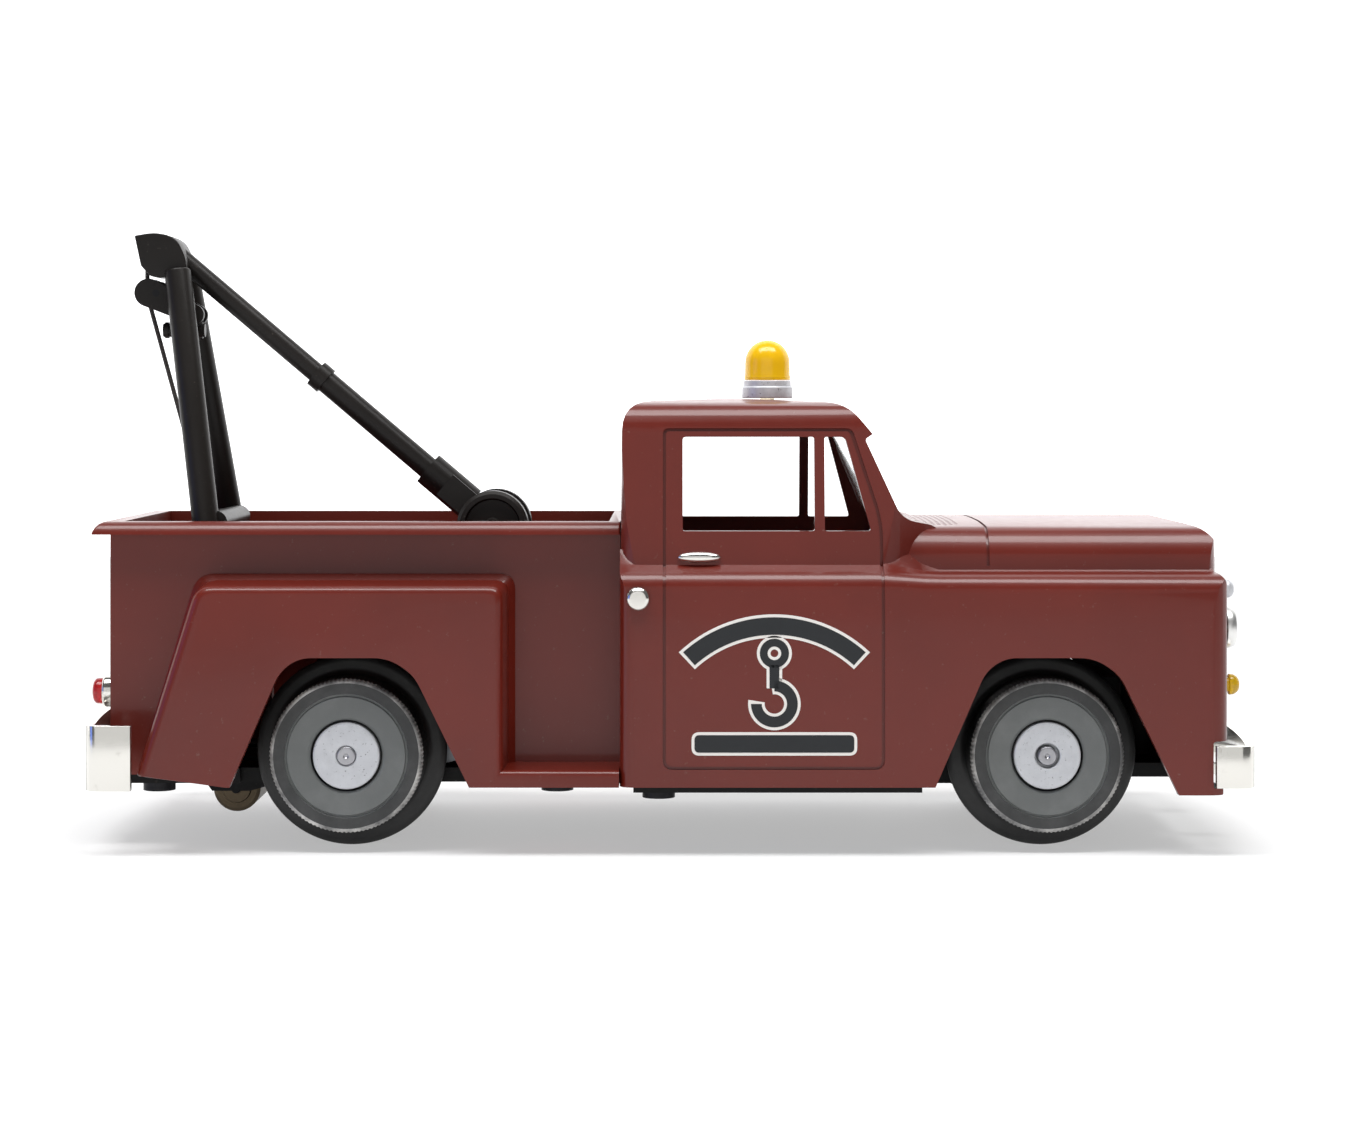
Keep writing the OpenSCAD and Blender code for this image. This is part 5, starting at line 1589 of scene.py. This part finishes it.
@dataclass
class FrontTrim:
    """Grille, headlights, marker lamps and turn signals."""

    stance: Stance

    def lamp(self, name: str, node: str, finish: Finish, profile: list[Corner], at: Vector) -> None:
        """Turns a pair of lamps that face forwards or backwards.

        Args:
            name: Name of the piece.
            node: The CAD node that it stands for.
            finish: Its finish.
            profile: Corners of (radius, height), in millimetres.
            at: Place of the left profile's zero height, in metres.
        """
        left = Shape.turned(profile, Axis.X, at, steps=48)
        left.with_shape(left.mirrored_copy())
        finish_piece(left.as_object(name), "truck", [finish], replaces=[node])

    def build(self) -> None:
        """Builds all the lamps and the grille."""
        s = self.stance
        x, y = s.nose_x, s.half - 6.5
        beam, rear = spot(x, y, s.axle_z + 13), spot(s.bed_x, s.box_half - 2.2, s.axle_z + 6)
        bezel = corners(
            (1.72, 0.03), (2.2, 0.03), (2.2, 0.55, 0.3), (1.95, 1.0, 0.2), (1.78, 0.95, 0.1), (1.72, 0.5), (1.72, 0.03)
        )
        self.lamp("headlight_rims", "headlight_bezels", Finish.SATIN, bezel, beam)
        dome = corners((0, 0.05), (1.68, 0.05), (1.68, 0.7, 0.1), (1.2, 1.12, 0.5), (0, 1.32, 0.2))
        self.lamp("headlight_glass", "headlight_lenses", Finish.LENS, dome, beam)
        marker = corners((0, 0.03), (0.95, 0.03), (0.93, 0.45, 0.2), (0.62, 0.88, 0.3), (0, 1.0, 0.1))
        self.lamp("marker_lamp_domes", "marker_lamps", Finish.SILVER, marker, spot(x, y, s.axle_z + 17))
        signal = corners(
            (0, 0.03), (0.75, 0.03), (0.75, 0.35), (1.1, 0.4, 0.1), (1.08, 0.95, 0.3), (0.7, 1.45, 0.3), (0, 1.58, 0.2)
        )
        signal_at = spot(x, y, s.axle_z + 7)
        self.lamp("turn_signal_domes", "turn_signal_lenses", Finish.AMBER_LENS, signal, signal_at)
        bezel = corners((0, -0.02), (1.7, -0.02), (1.7, -0.9, 0.2), (1.5, -1.1, 0.1), (0, -1.1))
        self.lamp("tail_light_rims", "tail_light_bezels", Finish.CHROME, bezel, rear)
        lens = corners((0, -1.12), (1.38, -1.12), (1.36, -1.9, 0.3), (0.9, -2.18, 0.3), (0, -2.2))
        self.lamp("tail_light_glass", "tail_light_lenses", Finish.RED_LENS, lens, rear)
        self.grille()

    def grille(self) -> None:
        """Builds the upright grille bars in their frame."""
        low, high = node_box("radiator_grille")
        frame = Shape.block((low.x, low.y, low.z), (high.x, high.y, high.z))
        frame.cut(Shape.block((low.x - 1, low.y + 0.8, low.z + 0.8), (high.x + 1, high.y - 0.8, high.z - 0.8)))
        frame.rounded_edges(0.12, 2)
        bars = 11
        x, pitch = low.x + 0.3, (high.y - low.y - 1.6) / bars
        for index in range(1, bars):
            y = low.y + 0.8 + index * pitch
            frame.with_shape(Shape.rod(spot(x, y, low.z + 0.7), spot(x, y, high.z - 0.7), 0.28, sides=12))
        back = Shape.block((low.x, low.y + 0.7, low.z + 0.7), (low.x + 0.06, high.y - 0.7, high.z - 0.7))
        back.painted(1, lambda _: True)
        frame.with_shape(back)
        finish_piece(
            frame.as_object("grille_bars"), "truck", [Finish.CHROME, Finish.BLACK],
            replaces=["radiator_grille"],
        )


@dataclass
class SideTrim:
    """Door handles and the fuel filler cap."""

    stance: Stance

    def build(self) -> None:
        """Builds the trim of both sides."""
        low, high = node_box("door_handles")
        middle = spot((low.x + high.x) / 2, high.y - 0.62, (low.z + high.z) / 2)
        shape = Shape()
        made = bmesh.ops.create_uvsphere(shape.bm, u_segments=32, v_segments=16, radius=1.0)["verts"]
        bmesh.ops.scale(shape.bm, verts=made, vec=((high.x - low.x) / 2 * MM, 0.6 * MM, (high.z - low.z) / 2 * MM))
        bmesh.ops.translate(shape.bm, verts=made, vec=middle)
        shape.with_shape(shape.mirrored_copy())
        self.plated(shape, "door_handle_grips", "door_handles")
        low, high = node_box("filler_cap")
        centre = middle_of(low, high)
        face, back = low.y, high.y - 0.01
        cap = corners(
            (0, face + 0.02), (0.85, face, 0.1), (1.0, face + 0.1, 0.08),
            (1.2, face + 0.3, 0.15), (1.2, back), (0, back),
        )
        self.plated(Shape.turned(cap, Axis.Y, centre, steps=48), "fuel_cap", "filler_cap")

    @staticmethod
    def plated(shape: Shape, name: str, node: str) -> None:
        """Dresses a piece of plated trim that stands for a node."""
        finish_piece(shape.as_object(name), "truck", [Finish.CHROME], replaces=[node])


class Beacon:
    """The roof beacon: a silver base and a yellow dome."""

    def build(self) -> None:
        """Turns the base and the dome."""
        low, high = node_box("beacon_base")
        centre = spot((low.x + high.x) / 2, 0, 0)
        z, top, bore = low.z, high.z - 0.05, 0.95
        base = corners(
            (bore, z), (2.8, z, 0.1), (2.78, z + 1.2, 0.15), (2.62, z + 1.3, 0.05),
            (2.6, top, 0.1), (bore, top), (bore, z),
        )
        shape = Shape.turned(base, Axis.Z, centre, steps=72)
        finish_piece(shape.as_object("beacon_socket"), "truck", [Finish.SILVER], replaces=["beacon_base"])
        low, high = node_box("beacon_lens")
        z, top, r = low.z, high.z, 2.5
        outer = [Corner(r + 0.05, z), Corner(r + 0.05, z + 0.35, 0.08), Corner(r, z + 0.5), Corner(r - 0.03, top - 2.5)]
        arc = [Corner(2.47 * math.cos(a), top - 2.5 + 2.5 * math.sin(a)) for a in self._angles(10)]
        inner = [Corner(1.9 * math.cos(a), top - 2.5 + 1.9 * math.sin(a)) for a in reversed(self._angles(8))]
        profile = outer + arc + inner + [Corner(1.95, top - 2.5), Corner(1.95, z), Corner(r + 0.05, z)]
        shape = Shape.turned(profile, Axis.Z, centre, steps=72)
        finish_piece(shape.as_object("beacon_dome"), "truck", [Finish.DOME], replaces=["beacon_lens"])

    @staticmethod
    def _angles(count: int) -> list[float]:
        """Angles from just above level to straight up."""
        return [math.pi / 2 * step / count for step in range(1, count + 1)]


@dataclass
class Hoist:
    """The mast, its head and the hook at its foot."""

    leg_r: float = 1.45

    def build(self) -> None:
        """Builds the mast and the hook."""
        self.mast()
        self.hook()

    def mast(self) -> None:
        """Two round legs with rungs and a bent head shroud."""
        low, high = node_box("mast_frame")
        floor_z = low.z
        foot_y = high.y - 2.6
        foot_x = high.x - 2.6
        top_z = high.z - 4.1
        top_x = low.x + 4.7
        top_y = 2.8
        foot = spot(foot_x, foot_y, floor_z)
        crest = spot(top_x, top_y, top_z)
        leg = Shape.rod(foot, crest, self.leg_r, sides=40).rounded_edges(0.25, 3, 50)
        flange = Shape.rod(foot, foot + Vector((0, 0, MM)), 2.6, sides=40).rounded_edges(0.2, 2, 50)
        leg.with_shape(flange)
        leg.with_shape(leg.mirrored_copy())

        def at(z: float) -> tuple[float, float]:
            """Place of the leg's middle at height z, as x and y."""
            t = (z - floor_z) / (top_z - floor_z)
            return foot_x + (top_x - foot_x) * t, foot_y + (top_y - foot_y) * t

        for z, dx, radius in ((floor_z + 10.6, 1.0, 1.3), (floor_z + 33.6, 0.0, 0.6), (top_z - 6.5, 0.0, 0.5)):
            x, y = at(z)
            leg.with_shape(Shape.rod(spot(x + dx, -y, z), spot(x + dx, y, z), radius))
        leg.with_shape(self.head(top_x, top_z))
        finish_piece(leg.as_object("mast_and_head"), "truck", [Finish.BLACK], replaces=["mast_frame"])

    def head(self, x: float, z: float) -> Shape:
        """The shroud that hoods the top of the boom.

        Args:
            x: Top of the legs, in millimetres.
            z: Top of the legs, in millimetres.

        Returns:
            A rounded shroud, open at its rear.
        """
        outer = corners(
            (x - 4.7, z + 3.8, 0.2), (x - 2.4, z + 4.2, 2.2), (x - 0.1, z + 3.6, 1.6), (x + 1.0, z + 1.2, 1.2),
            (x + 1.0, z - 0.7, 0.3), (x - 2.9, z - 0.7, 0.3), (x - 4.0, z + 0.5, 0.2),
        )
        shroud = Shape.prism(outer, Axis.Y, -3.0, 3.0)
        hollow = corners(
            (x - 6.5, z + 3.0), (x - 2.6, z + 3.1, 1.2), (x - 1.2, z + 1.6, 1.0),
            (x - 1.5, z + 0.1, 0.4), (x - 6.0, z + 0.1),
        )
        shroud.cut(Shape.prism(hollow, Axis.Y, -2.2, 2.2))
        return shroud.rounded_edges(0.35, 3, 40)

    def hook(self) -> None:
        """The hook, tapered to its point."""
        low, high = node_box("tow_hook")
        eye_low, eye_high = node_box("stow_eye")
        x = (eye_low.x + eye_high.x) / 2
        ring_z = eye_high.z - 0.35 + 0.2
        radius = 1.1
        route = [spot(low.x + 0.5, 0, high.z - 0.1), spot(x - 0.15, 0, ring_z + radius + 0.5)]
        for step in range(0, 19):
            turn = math.radians(90 - 15 * step)
            route.append(spot(x + radius * math.cos(turn), 0, ring_z + radius * math.sin(turn)))
        shape = Shape.swept(route, 0.44, 16, lambda t: 1.0 if t < 0.6 else 1.0 - (t - 0.6) * 1.2)
        finish_piece(shape.as_object("hook"), "truck", [Finish.BLACK], replaces=["tow_hook"])


class CarriedOver:
    """Finishes for the CAD nodes that stay as they are."""

    FINISHES: dict[Finish, str] = {
        Finish.BODY: "bed_floor",
        Finish.FRAME: "chassis_frame cab_floor_cover steering_yoke rear_pickup_arm front_pickup_arm",
        Finish.BLACK: "boom_rod boom_collar boom_tube boom_sleeve winch_stand winch_drum cable_guide sheave_bracket "
        "sheave_wheel",
        Finish.STEEL: "stow_eye king_pin pickup_pivot_pins pickup_springs",
        Finish.DARK_STEEL: "chassis_screws sheave_pin",
        Finish.CAN: "motor_can",
        Finish.BRONZE: "rear_bushes motor_pinion rear_pickup_roller front_pickup_roller",
        Finish.NYLON: "axle_gear",
        Finish.WINDOW: "window_glazing",
        Finish.BULB: "lamp_bulbs",
        Finish.THREAD: "wound_line tow_line",
        Finish.BOARD: "circuit_board",
        Finish.CHIP: "board_components",
    }

    def __init__(self, nodes: dict[str, bpy.types.Object]) -> None:
        """Keeps the frame's nodes."""
        self.nodes = nodes

    def build(self) -> None:
        """Gives every carried-over node its finish."""
        for finish, names in self.FINISHES.items():
            for name in names.split():
                slots = self.nodes[name].material_slots
                for slot in slots:
                    slot.material = finish.material()


@dataclass
class Studio:
    """Pale floor, soft lights and the camera."""

    focal: float = 77.95
    horizon_shift: float = -0.1204
    room: float = 0.10
    wall_y: float = 0.55
    wall_glow: float = 1.1
    floor_glow: float = 0.42

    def build(self) -> None:
        """Builds the whole studio."""
        self.surfaces()
        self.lights()
        self.camera()

    def surfaces(self) -> None:
        """A pale floor under the truck and a bright white wall far behind it."""
        floor = Shape()
        made = bmesh.ops.create_grid(floor.bm, x_segments=1, y_segments=1, size=3.0)["verts"]
        bmesh.ops.translate(floor.bm, verts=made, vec=(0, 0, -0.0001))
        wall = Shape()
        back, low, high = self.wall_y, -0.2, 1.2
        sheet = ((-3, back, low), (3, back, low), (3, back, high), (-3, back, high))
        wall.bm.faces.new([wall.bm.verts.new(place) for place in sheet])
        papers = (("studio_floor", floor, 0.5, self.floor_glow), ("studio_wall", wall, 0.8, self.wall_glow))
        for name, shape, shade, glow in papers:
            item = shape.as_object(name)
            graph = Graph(f"{name}_paper")
            graph.set(
                Base_Color=(shade, shade, shade, 1.0), Roughness=0.9,
                Emission_Color=(1.0, 1.0, 1.0, 1.0), Emission_Strength=glow,
            )
            item.data.materials.append(graph.material)

    def lights(self) -> None:
        """An overhead softbox, a weaker front fill and a dim room."""
        world = bpy.data.worlds.new("studio_room")
        bpy.context.scene.world = world
        world.use_nodes = True
        world.node_tree.nodes["Background"].inputs[0].default_value = (1.0, 1.0, 1.0, 1.0)
        world.node_tree.nodes["Background"].inputs[1].default_value = self.room
        self.softbox("overhead", (0.0, -0.12, 0.50), (0, 0.0, 0.02), (0.60, 0.20), 3.6)
        self.softbox("front_fill", (-0.10, -1.05, 0.15), (0, 0, 0.03), (1.2, 0.8), 2.0)
        self.softbox("blue_side", (-0.75, -0.30, 0.10), (0, 0, 0.03), (0.4, 0.4), 0.5, (0.12, 0.26, 1.0))

    def softbox(
        self,
        name: str,
        place: Sequence[float],
        aim: Sequence[float],
        size: tuple[float, float],
        power: float,
        colour: Sequence[float] = (1, 1, 1),
    ) -> None:
        """Hangs an area light.

        Args:
            name: Name of the light.
            place: Where it hangs, in metres.
            aim: The point that it faces, in metres.
            size: Width and height in metres.
            power: Power in watts.
            colour: Colour of the light.
        """
        light = bpy.data.lights.new(name, "AREA")
        light.shape = "RECTANGLE"
        light.size, light.size_y = size
        light.energy, light.color = power, colour
        item = bpy.data.objects.new(name, light)
        bpy.context.scene.collection.objects.link(item)
        item.location = place
        item.rotation_euler = (Vector(aim) - Vector(place)).to_track_quat("-Z", "Y").to_euler()

    def camera(self) -> None:
        """A level long lens square to the truck's right side."""
        data = bpy.data.cameras.new("side_view")
        data.lens, data.sensor_width = self.focal, 36.0
        data.shift_y = self.horizon_shift
        data.clip_start, data.clip_end = 0.01, 10.0
        item = bpy.data.objects.new("side_view", data)
        bpy.context.scene.collection.objects.link(item)
        item.location = (0.0005, -0.323, 0.0468)
        item.rotation_euler = (math.pi / 2, 0, 0)
        bpy.context.scene.camera = item


def main() -> None:
    """Builds every sub-assembly in order and reports each one."""
    logging.basicConfig(level=logging.INFO, format="%(name)s: %(message)s")
    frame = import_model()
    bpy.context.scene.view_settings.view_transform = "Standard"
    stance = Stance.read()
    builders: list[tuple[str, Any]] = [
        ("studio", Studio()),
        ("carried-over pieces", CarriedOver(frame["nodes"])),
        ("cab", Cab(stance)),
        ("pickup box", PickupBox(stance)),
        ("door signs", DoorSign(stance)),
        ("front bumper", Bumper("front_bumper", 1, 3.9, "bumper_front")),
        ("rear bumper", Bumper("rear_bumper", -1, 4.6, "bumper_rear")),
        ("lamps and grille", FrontTrim(stance)),
        ("side trim", SideTrim(stance)),
        ("beacon", Beacon()),
        ("hoist", Hoist()),
        ("rear left wheel", Wheel("rear_left", "rear_drive", "rear_hubs", 1, 1.02)),
        ("rear right wheel", Wheel("rear_right", "rear_drive", None, -1, 1.02)),
        ("front left wheel", Wheel("front_left", "front_wheel_left", "front_hub_left", 1, 1.28)),
        ("front right wheel", Wheel("front_right", "front_wheel_right", "front_hub_right", -1, 1.28)),
        ("rear axle", AxleEnds("rear_axle", "rear_drive", "rear")),
        ("front axle", AxleEnds("front_axle", "front_steering", "front")),
    ]
    for label, builder in builders:
        builder.build()
        LOG.info("built the %s", label)
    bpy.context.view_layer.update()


if __name__ == "__main__":
    main()
